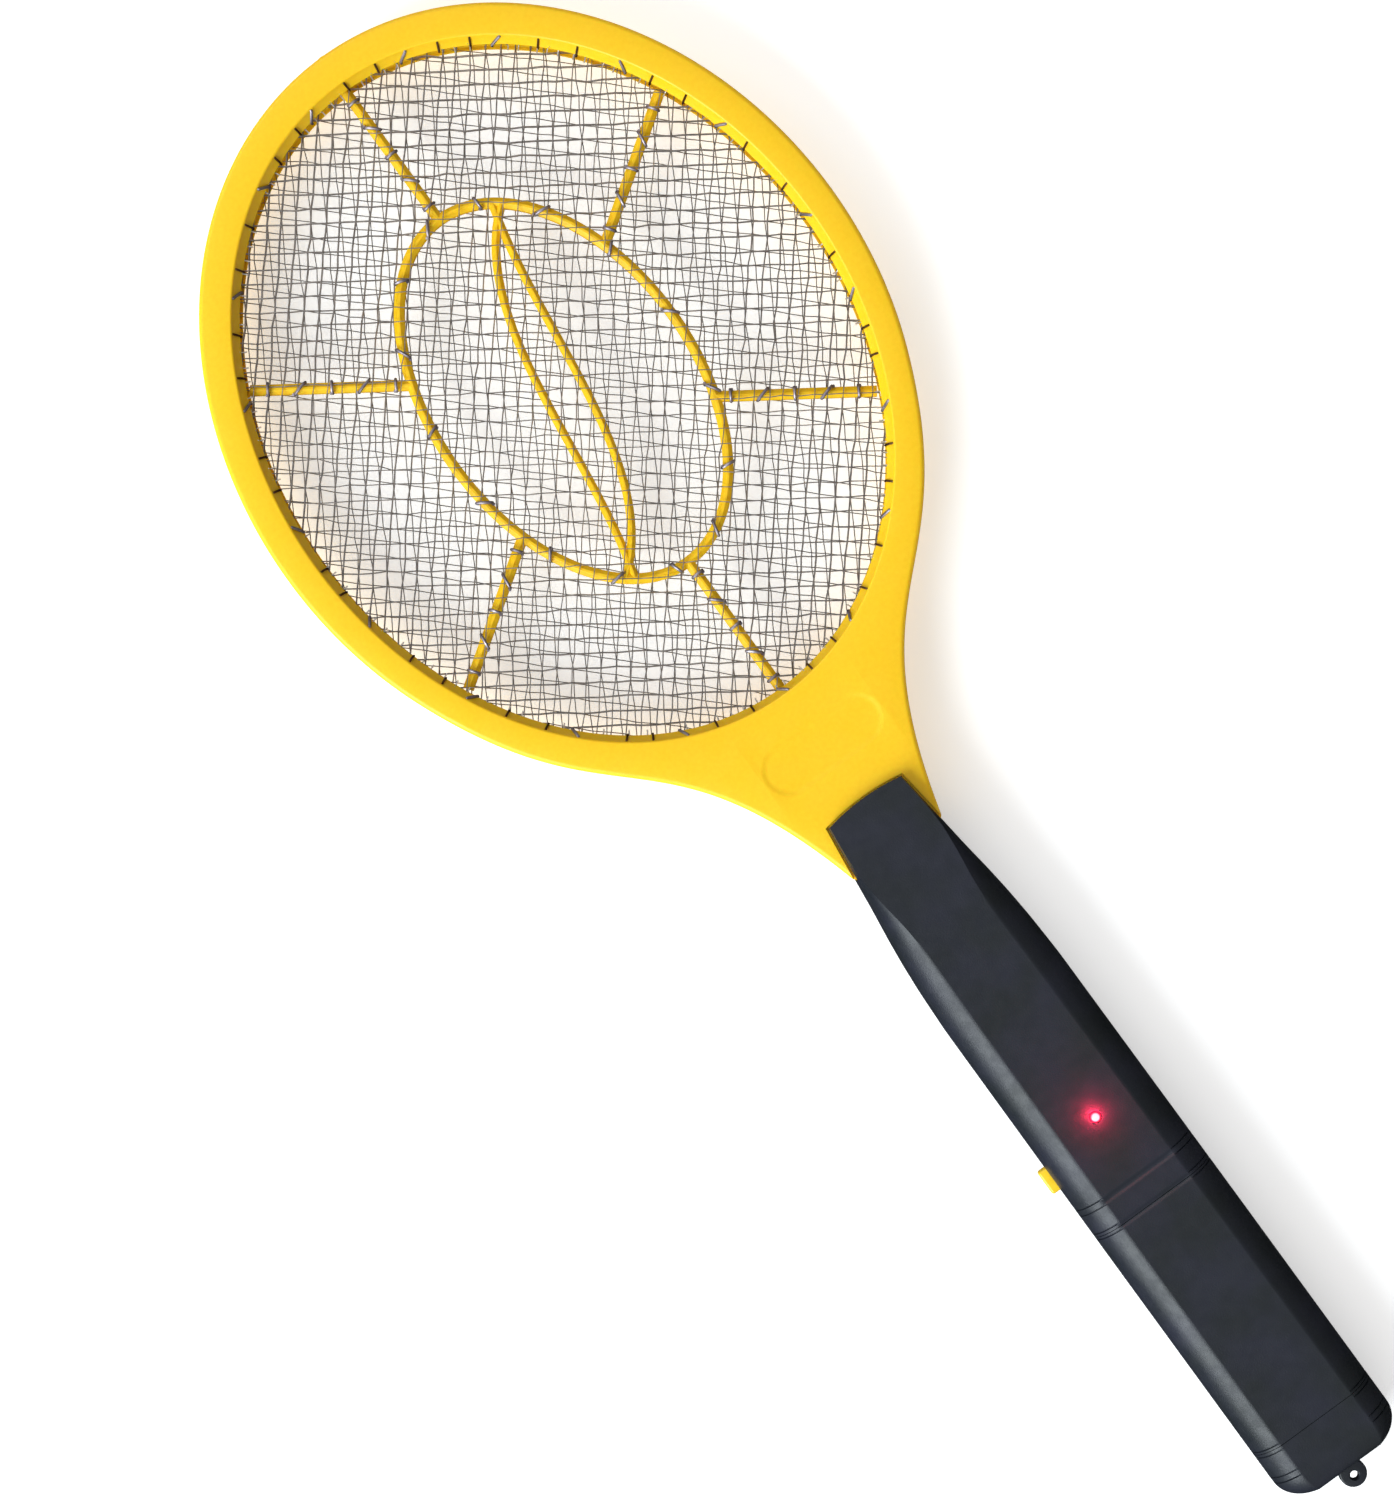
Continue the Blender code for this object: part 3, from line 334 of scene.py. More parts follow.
def head_loops():
    """The outer outline and the opening's ellipse, point for point."""
    leave = math.asin((NECK_LEAVE_Y - HEAD_Y) / HEAD_LONG)
    ring_turn = np.linspace(math.pi / 2, leave, 90)[:-1]
    ring = np.stack([HEAD_WIDE * np.cos(ring_turn), HEAD_Y + HEAD_LONG * np.sin(ring_turn)], 1)
    side, corner = neck_side(64)
    flat = np.stack([np.linspace(corner[-1][0], 0.0, 7)[1:], np.full(6, NECK_TIP[1])], 1)
    half = np.concatenate([ring, side, corner, flat])
    under = np.concatenate([np.linspace(leave, math.radians(-82), len(side)),
                            np.linspace(math.radians(-82.5), math.radians(-86), len(corner)),
                            np.linspace(math.radians(-86.5), -math.pi / 2, len(flat))])
    turns = np.concatenate([ring_turn, under])
    inner = np.stack([OPEN_WIDE * np.cos(turns), OPEN_Y + OPEN_LONG * np.sin(turns)], 1)

    def close(points):
        mirror = points[1:-1][::-1] * (-1, 1)
        return np.concatenate([points, mirror])
    return close(half), close(inner)


def outward(loop):
    """Unit normals that point out of a clockwise loop."""
    run = unit(np.roll(loop, -1, 0) - np.roll(loop, 1, 0))
    return np.stack([-run[:, 1], run[:, 0]], 1)


def head_screws():
    """Places of the screws round the head and in the neck."""
    mid_long = (HEAD_LONG + OPEN_LONG + POCKET) / 2
    mid_wide = (HEAD_WIDE + OPEN_WIDE + POCKET) / 2
    turns = [math.radians(a) for a in HEAD_SCREW_ANGLES]
    ring = [(mid_wide * math.cos(a), HEAD_Y + mid_long * math.sin(a)) for a in turns]
    return ring + list(NECK_SCREWS)


def pill_cutter():
    """The tool that sinks the plain pill into the neck's face, with soft edges."""
    length, width, depth = RECESS
    turns = np.linspace(math.pi / 2, -math.pi / 2, 25)
    loops = []
    for grow, drop in ((1.2, -0.9), (0.9, 0.0), (0.4, 0.05), (-0.1, 0.6 * depth),
                       (-0.7, 0.93 * depth), (-1.2, depth)):
        radius = width / 2 + grow
        x = length / 2 - width / 2 + radius * np.cos(turns)
        y = RECESS_Y + radius * np.sin(turns)
        outline = np.concatenate([np.stack([x, y], 1), np.stack([-x, y], 1)[::-1]])
        loops.append(raised(outline, MID_Z + HEAD_HALF - drop))
    return make("pill", *stack(loops))


def collar_cutter():
    """The shallow step in the neck's face that shows as a dark line round the shell's top."""
    across = np.linspace(0.0, 1.0, 9)
    top_half, low_half = handle_size([HANDLE_TOP, COLLAR_LOW])[0] + COLLAR
    top = np.stack([across * top_half, HANDLE_TOP + COLLAR - TOP_ARCH * across ** 2], 1)
    right = np.vstack([top, (low_half, COLLAR_LOW)])
    outline = np.concatenate([right, (right[1:] * (-1, 1))[::-1]])
    heights = (HEAD_HALF - COLLAR_DEEP, HEAD_HALF + 1.0)
    return make("collar", *stack([raised(outline, MID_Z + z) for z in heights]))


def head_half(name, side):
    """One moulded half of the head: rounded outside, lip, net pocket and hollow."""
    outer, inner = head_loops()
    rim, opening = (outer, outward(outer)), (inner, -outward(inner))
    quarter = np.linspace(0, math.pi / 2, 6)
    path = [(rim, 0.0, GAP / 2), (rim, 0.0, HEAD_HALF * 0.5)]
    path += [(rim, -OUTER_ROUND * (1 - math.cos(a)), HEAD_HALF - OUTER_ROUND * (1 - math.sin(a)))
             for a in quarter]
    path += [(opening, -DRAFT - INNER_ROUND * (1 - math.cos(a)),
              HEAD_HALF - INNER_ROUND * (1 - math.sin(a))) for a in quarter[::-1]]
    path += [(opening, 0.0, LIP_LOW + 0.25), (opening, -0.25, LIP_LOW), (opening, -POCKET, LIP_LOW),
             (opening, -POCKET, GAP / 2), (opening, -POCKET - FRAME_WALL, GAP / 2),
             (opening, -POCKET - FRAME_WALL, HEAD_HALF - FRAME_WALL),
             (rim, -FRAME_WALL, HEAD_HALF - FRAME_WALL), (rim, -FRAME_WALL, GAP / 2)]
    loops = [raised(loop + normal * grow, MID_Z + side * height)
             for (loop, normal), grow, height in path]
    body = make(name, *stack(loops, closed=True))

    def level(height):
        return MID_Z + side * height
    places = head_screws()
    posts = rods(places, POST_R, *sorted((level(GAP / 2 + 0.05), level(HEAD_HALF - 1.0))))
    drill = rods(places, SCREW_R + GAP, *sorted(
        (level(-2.0), level(HEAD_HALF - FRAME_WALL if side > 0 else HEAD_HALF + 1.0))))
    low, high = sorted((level(GAP / 2), level(TONGUE_HALF)))
    tongue = block("tongue", (-TONGUE_X, TONGUE_END, low), (TONGUE_X, NECK_TIP[1] + 6.0, high))
    channel = block("channel", (-CHANNEL_X, TONGUE_END - 1, MID_Z - CHANNEL_HALF),
                    (CHANNEL_X, OPEN_Y - OPEN_LONG, MID_Z + CHANNEL_HALF))
    boss = rods([(0.0, HANDLE_SCREWS_Y[0])], POST_R + GAP, MID_Z - 9, MID_Z + 9)
    steps = join(posts, tongue) + cut(channel, boss, drill)
    if side > 0:
        steps += cut(pill_cutter(), collar_cutter())
    else:
        seat = HEAD_HALF - SCREW_HEAD_H - GAP
        steps += cut(rods(places, SCREW_HEAD_R + GAP, level(HEAD_HALF + 1.0), level(seat), 32))
    return solve(body, steps)


# ---- nets

def tube_part(path, radius, sides=6):
    """A capped round wire along a path of points that runs roughly level."""
    run = unit(np.gradient(path, axis=0))
    across = np.cross(run, (0.0, 0.0, 1.0))
    length = np.linalg.norm(across, axis=1)[:, None]
    across = np.where(length > 1e-3, across / np.maximum(length, 1e-3), (1.0, 0.0, 0.0))
    return stack(wire_rings(path, across, np.cross(across, run), radius, sides))


def wire_rings(path, across, up, radius, sides):
    """Circles round the points of a path, between two directions square to it."""
    turns = np.arange(sides) * 2 * math.pi / sides
    return list(path[:, None, :] + radius * (np.cos(turns)[None, :, None] * across[:, None, :]
                                             + np.sin(turns)[None, :, None] * up[:, None, :]))


def woven_net(name, height, row_turn, column_turn, phase, seed):
    """A plain weave of round wires cut to the opening's ellipse."""
    draw = np.random.default_rng(seed)
    normals = np.array([(-math.sin(row_turn), math.cos(row_turn)),
                        (-math.sin(column_turn), math.cos(column_turn))])
    count = int(NET_REACH / PITCH)
    index = np.arange(-count, count + 1)
    k, m = np.meshgrid(index, index, indexing="ij")
    sway = draw.normal(0.0, WIRE_SWAY, (2, len(index)))
    offsets = np.stack([k * PITCH + phase[0] + sway[0][:, None],
                        m * PITCH + phase[1] + sway[1][None, :]], -1)
    grid = offsets @ np.linalg.inv(normals).T
    grid = grid + draw.normal(0.0, CROSSING_SWAY, grid.shape)
    over = np.where((k + m) % 2 == 0, 1.0, -1.0) * WIRE_R
    wide, long = OPEN_WIDE + NET_MARGIN, OPEN_LONG + NET_MARGIN
    inside = (grid[..., 0] / wide) ** 2 + (grid[..., 1] / long) ** 2 < 1.0
    parts = []
    for flip in (False, True):
        points, held, lift = (grid.swapaxes(0, 1), inside.T, -over.T) if flip else (grid, inside, over)
        for row, keep, rise in zip(points, held, lift):
            if keep.sum() < 3:
                continue
            row, rise = row[keep], rise[keep]
            crossing = np.column_stack([row[:, 0], row[:, 1] + OPEN_Y, height + rise])
            middle = (crossing[1:] + crossing[:-1]) / 2
            path = np.empty((2 * len(crossing) - 1, 3))
            path[0::2], path[1::2] = crossing, middle
            ends = []
            for near, beyond in ((path[0], path[0] - path[2]), (path[-1], path[-1] - path[-3])):
                ends.append(near + beyond * edge_reach(near, beyond, wide, long))
            parts.append(tube_part(np.vstack([ends[0], path, ends[1]]), WIRE_R))
    return merge(name, parts)


def edge_reach(near, beyond, wide, long):
    """How many steps on from a point a wire meets the ellipse that the net is cut to."""
    x, y = near[0] / wide, (near[1] - OPEN_Y) / long
    dx, dy = beyond[0] / wide, beyond[1] / long
    a, b, c = dx * dx + dy * dy, 2 * (x * dx + y * dy), x * x + y * y - 1
    root = (-b + math.sqrt(max(b * b - 4 * a * c, 0.0))) / (2 * a)
    return max(root, 0.05)


# ---- spacer grids

def rib_part(line, closed, side, width=RIB):
    """A ridged bar along a line of (x, y) points."""
    line = np.asarray(line, float)
    run = unit(np.roll(line, -1, 0) - np.roll(line, 1, 0) if closed else np.gradient(line, axis=0))
    across = np.stack([-run[:, 1], run[:, 0]], 1)
    half, tall = width / 2, GRID_HIGH - GRID_LOW
    profile = ((-half, 0.0), (-half, 0.3 * tall), (-0.8 * half, 0.5 * tall), (-0.2 * half, tall),
               (0.2 * half, tall), (0.8 * half, 0.5 * tall), (half, 0.3 * tall), (half, 0.0))
    rings = []
    for p, n in zip(line, across):
        rings.append([(*(p + n * shift), MID_Z + side * (GRID_LOW + rise)) for shift, rise in profile])
    return stack(rings, closed=closed)


def ellipse(long, wide, steps):
    turns = np.arange(steps) * 2 * math.pi / steps
    return np.stack([wide * np.cos(turns), OPEN_Y + long * np.sin(turns)], 1)


def rib_lines():
    """Centre lines of the oval ring, the six spokes and the two bowed lens bars."""
    ring = ellipse(RING_LONG, RING_WIDE, RING_POINTS)
    steps = np.linspace(0, 1, 12)[:, None]
    lines = []
    for s in (-1, 1):
        reach = np.array((0.0, s * (OPEN_LONG + 1.5 - RING_LONG)))
        lines.append(np.array((0.0, s * RING_LONG)) + steps * reach)
    for sx in (-1, 1):
        for sy in (-1, 1):
            start, end = np.array(SPOKE[0]) * (sx, sy), np.array(SPOKE[1]) * (sx, sy)
            lines.append(start + steps * (end - start))
    lines = [line + (0.0, OPEN_Y) for line in lines]
    bow = bezier(LENS, np.linspace(0, 1, 30))
    return ring, lines, [bow + (0.0, OPEN_Y), -bow + (0.0, OPEN_Y)]


def spacer_grid(name, side):
    ring, spokes, bows = rib_lines()
    rim_mid = (POCKET - GAP + 0.6) / 2
    rim = ellipse(OPEN_LONG + rim_mid, OPEN_WIDE + rim_mid, 160)
    body = make(name, *rib_part(rim, True, side, POCKET - GAP - 0.6))
    steps = join(make("oval", *rib_part(ring, True, side)))
    for number, line in enumerate(spokes + bows):
        width = RIB if number < len(spokes) else LENS_SHARE * RIB
        steps += join(make("bar", *rib_part(line, False, side, width)))
    return solve(body, steps)


# ---- handle

def handle_size(y):
    """Half width, half flat width and half thickness on front and back of the handle at Y values."""
    y = np.asarray(y, float)
    dense = np.arange(-230.0, 0.0, 0.5)
    kernel = np.hanning(15)
    kernel /= kernel.sum()
    sizes = []
    for column in range(1, 4):
        line = np.interp(dense, HANDLE[::-1, 0], HANDLE[::-1, column])
        padded = np.pad(line, 7, mode="edge")
        sizes.append(np.interp(y, dense, np.convolve(padded, kernel, "valid")))
    half, face, front = sizes
    past = np.clip((HANDLE_END + END_ROUND - y) / END_ROUND, 0.0, 1.0)
    drop = 1 - np.sqrt(1 - past ** 2)
    back = np.full_like(front, HANDLE_HALF) - END_THIN * drop
    return half - END_ROUND * drop, face - 0.3 * END_ROUND * drop, front - END_THIN * drop, back


def ring_relief(y):
    """Offset of the surface at the moulded rings, on the shoulders and on the flat face."""
    shoulder, flat = 0.0, 0.0
    for ring_y, strength in RINGS:
        away = abs(y - ring_y)
        groove = abs(away - RING_LAND - RING_GROOVE)
        shoulder -= RING_DEEP * max(0.0, 1 - groove / RING_GROOVE) ** 0.6
        if away < BAND_HALF:
            flat -= strength * BAND_DEEP * (0.5 + 0.5 * math.cos(math.pi * away / BAND_HALF))
    return shoulder, flat


def half_section(y, sign, inset=0.0):
    """Points of one half of the handle's section, from +X over the face to -X."""
    half, face, front, back = (float(v[0]) for v in handle_size([y]))
    thick = (front if sign > 0 else back) - inset
    half, face = half - inset, face - 0.7 * inset
    side = min(SIDE_FLAT, thick / 3)
    shoulder, flat = (0.0, 0.0) if inset else ring_relief(y)
    t = np.linspace(0, 1, CORNER_STEPS)[:, None]
    knots = np.array(((half, side), (half - 0.1 * (half - face), thick - 0.3 * (thick - side)),
                      (face, thick)))
    curve = (1 - t) ** 2 * knots[0] + 2 * (1 - t) * t * knots[1] + t * t * knots[2]
    run = unit(np.gradient(curve, axis=0))
    out = np.stack([run[:, 1], -run[:, 0]], 1)
    fade = np.clip((1 - t) / 0.12, 0, 1)
    curve = curve + out * (shoulder * fade + flat * (1 - fade))
    level = np.stack([np.linspace(face * 0.97, 0.0, 6), np.full(6, thick + flat)], 1)
    start = np.array([(half + shoulder, 0.0)])
    quarter = np.concatenate([start, curve, level])
    mirror = quarter[:-1][::-1] * (-1, 1)
    loop = np.concatenate([quarter, mirror])
    return np.column_stack([loop[:, 0], np.full(len(loop), y), MID_Z + sign * loop[:, 1]])


def handle_stations():
    """The Y values of the handle's sections, close together at the rings and the end."""
    coarse = np.arange(HANDLE_TOP, HANDLE_END + END_ROUND, -2.5)
    fine = [ring_y + np.arange(-1.36, 1.37, 0.085) for ring_y, _ in RINGS]
    end = HANDLE_END + END_ROUND - END_ROUND * np.sin(np.linspace(0, math.radians(89), 22))
    stations = np.unique(np.round(np.concatenate([coarse, end] + fine), 3))[::-1]
    keep = [True] + [a - b > 0.02 for a, b in zip(stations, stations[1:])]
    return [y for y, ok in zip(stations, keep) if ok]


def half_solid(name, sign):
    """The solid half handle on one side of the parting plane."""
    loops = [half_section(y, sign) for y in handle_stations()]
    for loop in loops:
        loop[0, 2] = loop[-1, 2] = MID_Z + sign * GAP / 2
    return make(name, *stack(loops))


def cavity(sign):
    """The hollow of a half handle."""
    stations = np.linspace(CAVITY_TOP, CAVITY_END, 40)
    loops = [half_section(y, sign, SHELL_WALL) for y in stations]
    for loop in loops:
        loop[0, 2] = loop[-1, 2] = MID_Z - sign * 1.0
    return make("cavity", *stack(loops))


def neck_room():
    """The neck and tongue, grown by the gap, that the shells leave free."""
    outer, _ = head_loops()
    grown = outer + outward(outer) * GAP
    heights = (-HEAD_HALF - GAP, HEAD_HALF + GAP)
    return make("neck_room", *stack([raised(grown, MID_Z + z) for z in heights]))


def arch_room():
    """What the arched top edge leaves of the handle's square top."""
    x = np.linspace(-16.0, 16.0, 41)
    half = handle_size([HANDLE_TOP])[0][0]
    edge = np.stack([x, HANDLE_TOP - 0.02 - TOP_ARCH * (x / half) ** 2], 1)
    outline = np.vstack([edge, (16.0, 2.0), (-16.0, 2.0)])
    return make("arch_room", *stack([raised(outline, z) for z in (-5.0, 35.0)]))


def tongue_room():
    return block("tongue_room", (-TONGUE_X - GAP, TONGUE_END - GAP, MID_Z - TONGUE_HALF - GAP),
                 (TONGUE_X + GAP, -20.0, MID_Z + TONGUE_HALF + GAP))


def window():
    """The button's window in both halves."""
    long, tall = (half + GAP for half in CAP_HALF)
    return block("window", (-24.0, BUTTON_Y - long, MID_Z - tall),
                 (-14.0, BUTTON_Y + long, MID_Z + tall))


def cover_room(gap=0.0):
    return block("cover_room", (-30.0, COVER_END + gap, MID_Z + COVER_RISE + gap),
                 (30.0, COVER_TOP - gap, 40.0))


def boss_steps(sign):
    """The screw bosses of a half, and their holes and seats."""
    places = [(0.0, y) for y in HANDLE_SCREWS_Y]
    low, high = sorted((MID_Z + sign * GAP / 2, MID_Z + sign * (HANDLE_HALF - SHELL_WALL / 2)))
    steps = join(rods(places, POST_R, low, high))
    reach = 8.0 if sign > 0 else HANDLE_HALF + 1
    low, high = sorted((MID_Z - sign * 1.0, MID_Z + sign * reach))
    steps += cut(rods(places, SCREW_R + GAP, low, high))
    if sign < 0:
        low, high = MID_Z - HANDLE_HALF - 1, MID_Z - HANDLE_HALF + HANDLE_SEAT
        steps += cut(rods(places, SCREW_HEAD_R + GAP, low, high, 32))
    return steps


def shell_front():
    lamp_hole = rods([(0.0, LAMP_Y)], LAMP_R + 0.12, MID_Z + 6, MID_Z + 20, 40)
    steps = cut(cavity(1)) + boss_steps(1)
    steps += cut(neck_room(), tongue_room(), arch_room(), cover_room(), window(), lamp_hole)
    return solve(half_solid("handle_front", 1), steps)


def shell_back():
    top = MID_Z - GAP / 2
    steps = cut(cavity(-1)) + boss_steps(-1)
    for y in BAY_WALLS_Y:
        steps += join(block("bay_wall", (-BAY_WALL_X, y - BAY_WALL_HALF, BAY_WALL_LOW),
                            (BAY_WALL_X, y + BAY_WALL_HALF, top - 0.02)))
    ear = lathe("ear", ear_profile(top), 48, at=(0.0, EAR_Y, 0.0))
    root = block("root", (-EAR_R + 0.3, EAR_Y, top - EAR_THICK + 0.15),
                 (EAR_R - 0.3, EAR_Y + 8.0, top - 0.15), 0.4)
    eye = [(EAR_HOLE_R + 0.5, top + 0.3), (EAR_HOLE_R + 0.35, top), (EAR_HOLE_R, top - 0.4),
           (EAR_HOLE_R, top - EAR_THICK + 0.4), (EAR_HOLE_R + 0.5, top - EAR_THICK - 0.3)]
    hole = lathe("eye", eye, 32, at=(0.0, EAR_HOLE_Y, 0.0))
    steps += join(root, ear) + cut(hole, neck_room(), tongue_room(), arch_room(), window())
    return solve(half_solid("handle_back", -1), steps)


def ear_profile(top):
    """The ear's rounded edge, from its upper face to its lower one."""
    turns = np.linspace(0, math.pi / 2, 5)
    r = 0.5
    upper = [(EAR_R - r + r * math.sin(a), top - r + r * math.cos(a)) for a in turns]
    lower = [(EAR_R - r + r * math.cos(a), top - EAR_THICK + r - r * math.sin(a)) for a in turns]
    return upper + lower


def cover():
    steps = cut(cavity(1)) + [("INTERSECT", cover_room(GAP / 2))]
    return solve(half_solid("battery_lid", 1), steps)


# ---- small parts

def button():
    """The cap with its flange, and the stem that presses the switch."""
    wall_x, high = (corner[0] for corner in cad_box("push_button"))
    long, tall = CAP_HALF
    cap = block("button_cap", (wall_x, BUTTON_Y - long, MID_Z - tall),
                (FLANGE_X[1], BUTTON_Y + long, MID_Z + tall), 0.7, 5)
    flange = block("button_flange", (FLANGE_X[0], BUTTON_Y - 4.75, MID_Z - 3.8),
                   (FLANGE_X[1], BUTTON_Y + 4.75, MID_Z + 3.8), 0.25, 2)
    stem = lathe("button_stem", [(1.0, -15.2), (1.0, high - 0.2), (0.8, high)], 24, axis="X",
                 at=(0.0, BUTTON_Y, MID_Z))
    return solve(cap, join(flange)), stem


def return_spring():
    """The button's coil spring at rest, a helix of wire that fills the CAD spring's box; the real
    spring shortens towards its fixed end as the button goes in.
    """
    low, high = cad_box("button_spring")
    centre = (low + high) / 2
    radius = (high[1] - low[1]) / 2 - SPRING_WIRE_R
    steps = np.linspace(0, 1, 40 * SPRING_TURNS + 1)
    turn = 2 * math.pi * SPRING_TURNS * steps
    radial = np.stack([np.zeros_like(turn), np.cos(turn), np.sin(turn)], 1)
    path = centre + radius * radial
    path[:, 0] = low[0] + SPRING_WIRE_R + steps * (high[0] - low[0] - 2 * SPRING_WIRE_R)
    up = np.cross(unit(np.gradient(path, axis=0)), radial)
    spring = make("return_spring", *stack(wire_rings(path, radial, up, SPRING_WIRE_R, 10)))
    dress(spring, "spring_steel", "button_spring")
    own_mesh(spring)


def lamp():
    top = MID_Z + HANDLE_HALF
    dome = [(max(LAMP_R * math.sin(a), 0.04), top + LAMP_RISE - LAMP_R + LAMP_R * math.cos(a))
            for a in np.linspace(0.02, math.pi / 2, 12)]
    flange = LAMP_R + 0.4
    base = [(LAMP_R, top - 4.0), (flange, top - 4.0), (flange, top - 5.0), (0.05, top - 5.0)]
    return lathe("lamp", dome + base, 40, at=(0.0, LAMP_Y, 0.0))


def screw_mesh(name, length):
    """A pan-head screw, head down and point up, with its head's underside at height 0."""
    thread = []
    for height in np.arange(length - 1.8, 1.0, -0.45):
        thread += [(SCREW_R, height), (SCREW_R * 0.78, height - 0.22)]
    point = [(0.05, length), (0.35, length - 0.35), (SCREW_R * 0.8, length - 1.5)]
    head = [(SCREW_HEAD_R, 0.0), (SCREW_HEAD_R, -0.35)]
    head += [(SCREW_HEAD_R - 1.3 * (1 - math.cos(a)), -0.35 - 1.0 * math.sin(a))
             for a in np.linspace(0.3, math.pi / 2, 5)]
    head += [(0.6, -SCREW_HEAD_H), (0.05, -SCREW_HEAD_H)]
    body = lathe(name, point + thread + [(SCREW_R * 0.8, 0.0)] + head, 28)
    slots = [block("slot", (-x, -y, -2.0), (x, y, -0.75)) for x, y in ((1.35, 0.26), (0.26, 1.35))]
    return solve(body, cut(*slots))


def screws():
    """Every screw stands where its CAD node is."""
    longest = {}
    for node in sorted(frame["nodes"]):
        if "screw" not in node:
            continue
        low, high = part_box(node)
        length = round((high.z - low.z) / MM - SCREW_HEAD_H, 1)
        if length not in longest:
            longest[length] = screw_mesh("screw_{:.0f}".format(length), length)
        made = new_object(node + "_fine", longest[length].data.copy())
        turn = Matrix.Rotation(0.7 * len(node) + low.y * 40, 4, "Z")
        seat = low.z + SCREW_HEAD_H * MM
        place = Matrix.Translation(((low.x + high.x) / 2, (low.y + high.y) / 2, seat))
        made.data.transform(place @ turn)
        dress(made, "screw_steel", node)
    for pattern in longest.values():
        bpy.data.objects.remove(pattern, do_unlink=True)


def cells():
    """The two plain AA cells, turned on their own axis, one each way round."""
    for node, sx in (("cell_left", -1), ("cell_right", 1)):
        low, high = cad_box(node)
        centre = (low + high) / 2
        half = (high[1] - low[1]) / 2
        r = (high[0] - low[0]) / 2
        nub = [(0.05, half), (2.2, half), (2.6, half - 0.35), (2.7, half - 1.25)]
        shoulder = [(r - 1.6, half - 1.3), (r - 1.5, half - 1.15), (r - 0.7, half - 1.3),
                    (r, half - 1.9)]
        foot = [(r, -half + 0.6), (r - 0.5, -half + 0.05), (r - 1.3, -half + 0.1),
                (r - 1.5, -half + 0.3), (0.05, -half + 0.15)]
        turned = lathe(node + "_fine", nub + shoulder + foot, 56, axis="Y")
        if sx > 0:
            turned.data.transform(Matrix.Rotation(math.pi, 4, "Z"))
        turned.data.transform(Matrix.Translation(Vector(centre * MM)))
        dress(turned, "cell_wrap", node)


# ---- wires on the rim and ribs

def rim_point(angle, inset):
    """A point on the opening's rim and the direction out of the opening there."""
    wide, long = OPEN_WIDE - inset, OPEN_LONG - inset
    point = np.array((wide * math.cos(angle), OPEN_Y + long * math.sin(angle)))
    out = np.array((math.cos(angle) / wide, math.sin(angle) / long))
    return point, out / np.linalg.norm(out)


def rim_hooks():
    """Wire hooks that stand on the inner wall and hold the net down, and thicker slanting ties."""
    draw = np.random.default_rng(11)
    thin, thick = [], []
    top = MID_Z + HEAD_HALF - 0.55
    for i in range(HOOKS):
        angle = 2 * math.pi * (i + draw.uniform(-0.2, 0.2)) / HOOKS
        point, out = rim_point(angle, 0.25)
        slant = i % 3 == 0
        lean = np.array((-out[1], out[0])) * draw.uniform(-0.3, 0.3)
        if slant:
            lean = np.array((-out[1], out[0])) * draw.choice((-2.0, 2.0))
        path = [(*(point + out * (DRAFT + 0.8)), top - 0.1),
                (*(point + out * (DRAFT + 0.1)), top - 0.25),
                (*(point + lean * 0.5 + out * (0.5 * DRAFT)), MID_Z + (LIP_LOW + HEAD_HALF) / 2),
                (*(point + lean + out * 0.05), MID_Z + LIP_LOW + 0.2),
                (*(point + lean), NET_Z["front"] - 0.4),
                (*(point + lean + out * 0.8), NET_Z["front"] - 1.2)]
        (thick if slant else thin).append(tube_part(np.array(path), TIE_R if slant else HOOK_R, 8))
    return merge("net_hooks", thin), merge("rim_ties", thick)


def wire_curls():
    """Cut ends of the net's wires that curl up against the inner wall."""
    draw = np.random.default_rng(5)
    parts = []
    for i in range(WIRE_ENDS):
        angle = 2 * math.pi * (i + draw.uniform(-0.3, 0.3)) / WIRE_ENDS
        point, out = rim_point(angle, 0.3)
        if draw.random() < 0.25:
            continue
        along = np.array((-out[1], out[0]))
        rise = draw.uniform(0.7, 1.9)
        sway = along * draw.normal(0.0, 0.45)
        base = np.array((*(point + out * 0.2), NET_Z["front"]))
        lean = out * DRAFT * rise / (HEAD_HALF - LIP_LOW)
        path = [base - (*(out * 1.3), 0.0), base, base + (*(sway * 0.4 + lean * 0.5), rise * 0.6),
                base + (*(sway + lean - out * draw.uniform(0.0, 0.3)), rise)]
        parts.append(tube_part(np.array(path), WIRE_END_R, 6))
    return merge("wire_ends", parts)


def tie_part(centre, along, skew, lift):
    """One turn of binding wire round a rib and the net above it."""
    turns = np.linspace(0, 2 * math.pi, 21)
    across = np.array((-along[1], along[0]))
    path = []
    for a in turns:
        flat = (centre + across * (RIB / 2 + 0.2) * math.cos(a) + along * skew * math.cos(a)
                + along * lift * a / 6.3)
        path.append((*flat, NET_Z["front"] - 0.95 + 1.35 * math.sin(a)))
    return tube_part(np.array(path), TIE_R, 8)


def wire_ties():
    """Binding wire at even steps along the spokes and round the oval ring."""
    ring, spokes, _ = rib_lines()
    parts = []
    for line in spokes:
        run = line[-1] - line[0]
        length = np.linalg.norm(run)
        along = run / length
        for i, away in enumerate(np.arange(4.0, length - 3.0, 8.4)):
            parts.append(tie_part(line[0] + along * away, along, (0.0, 1.5)[i % 2], 0.5))
    for i in range(0, RING_POINTS, 8):
        along = ring[(i + 1) % RING_POINTS] - ring[i - 1]
        along = along / np.linalg.norm(along)
        parts.append(tie_part(ring[i], along, (1.5, -0.8)[i // 8 % 2], 0.5))
    return merge("rib_ties", parts)


# ---- materials

def colour(r, g, b):
    return (r, g, b, 1.0)


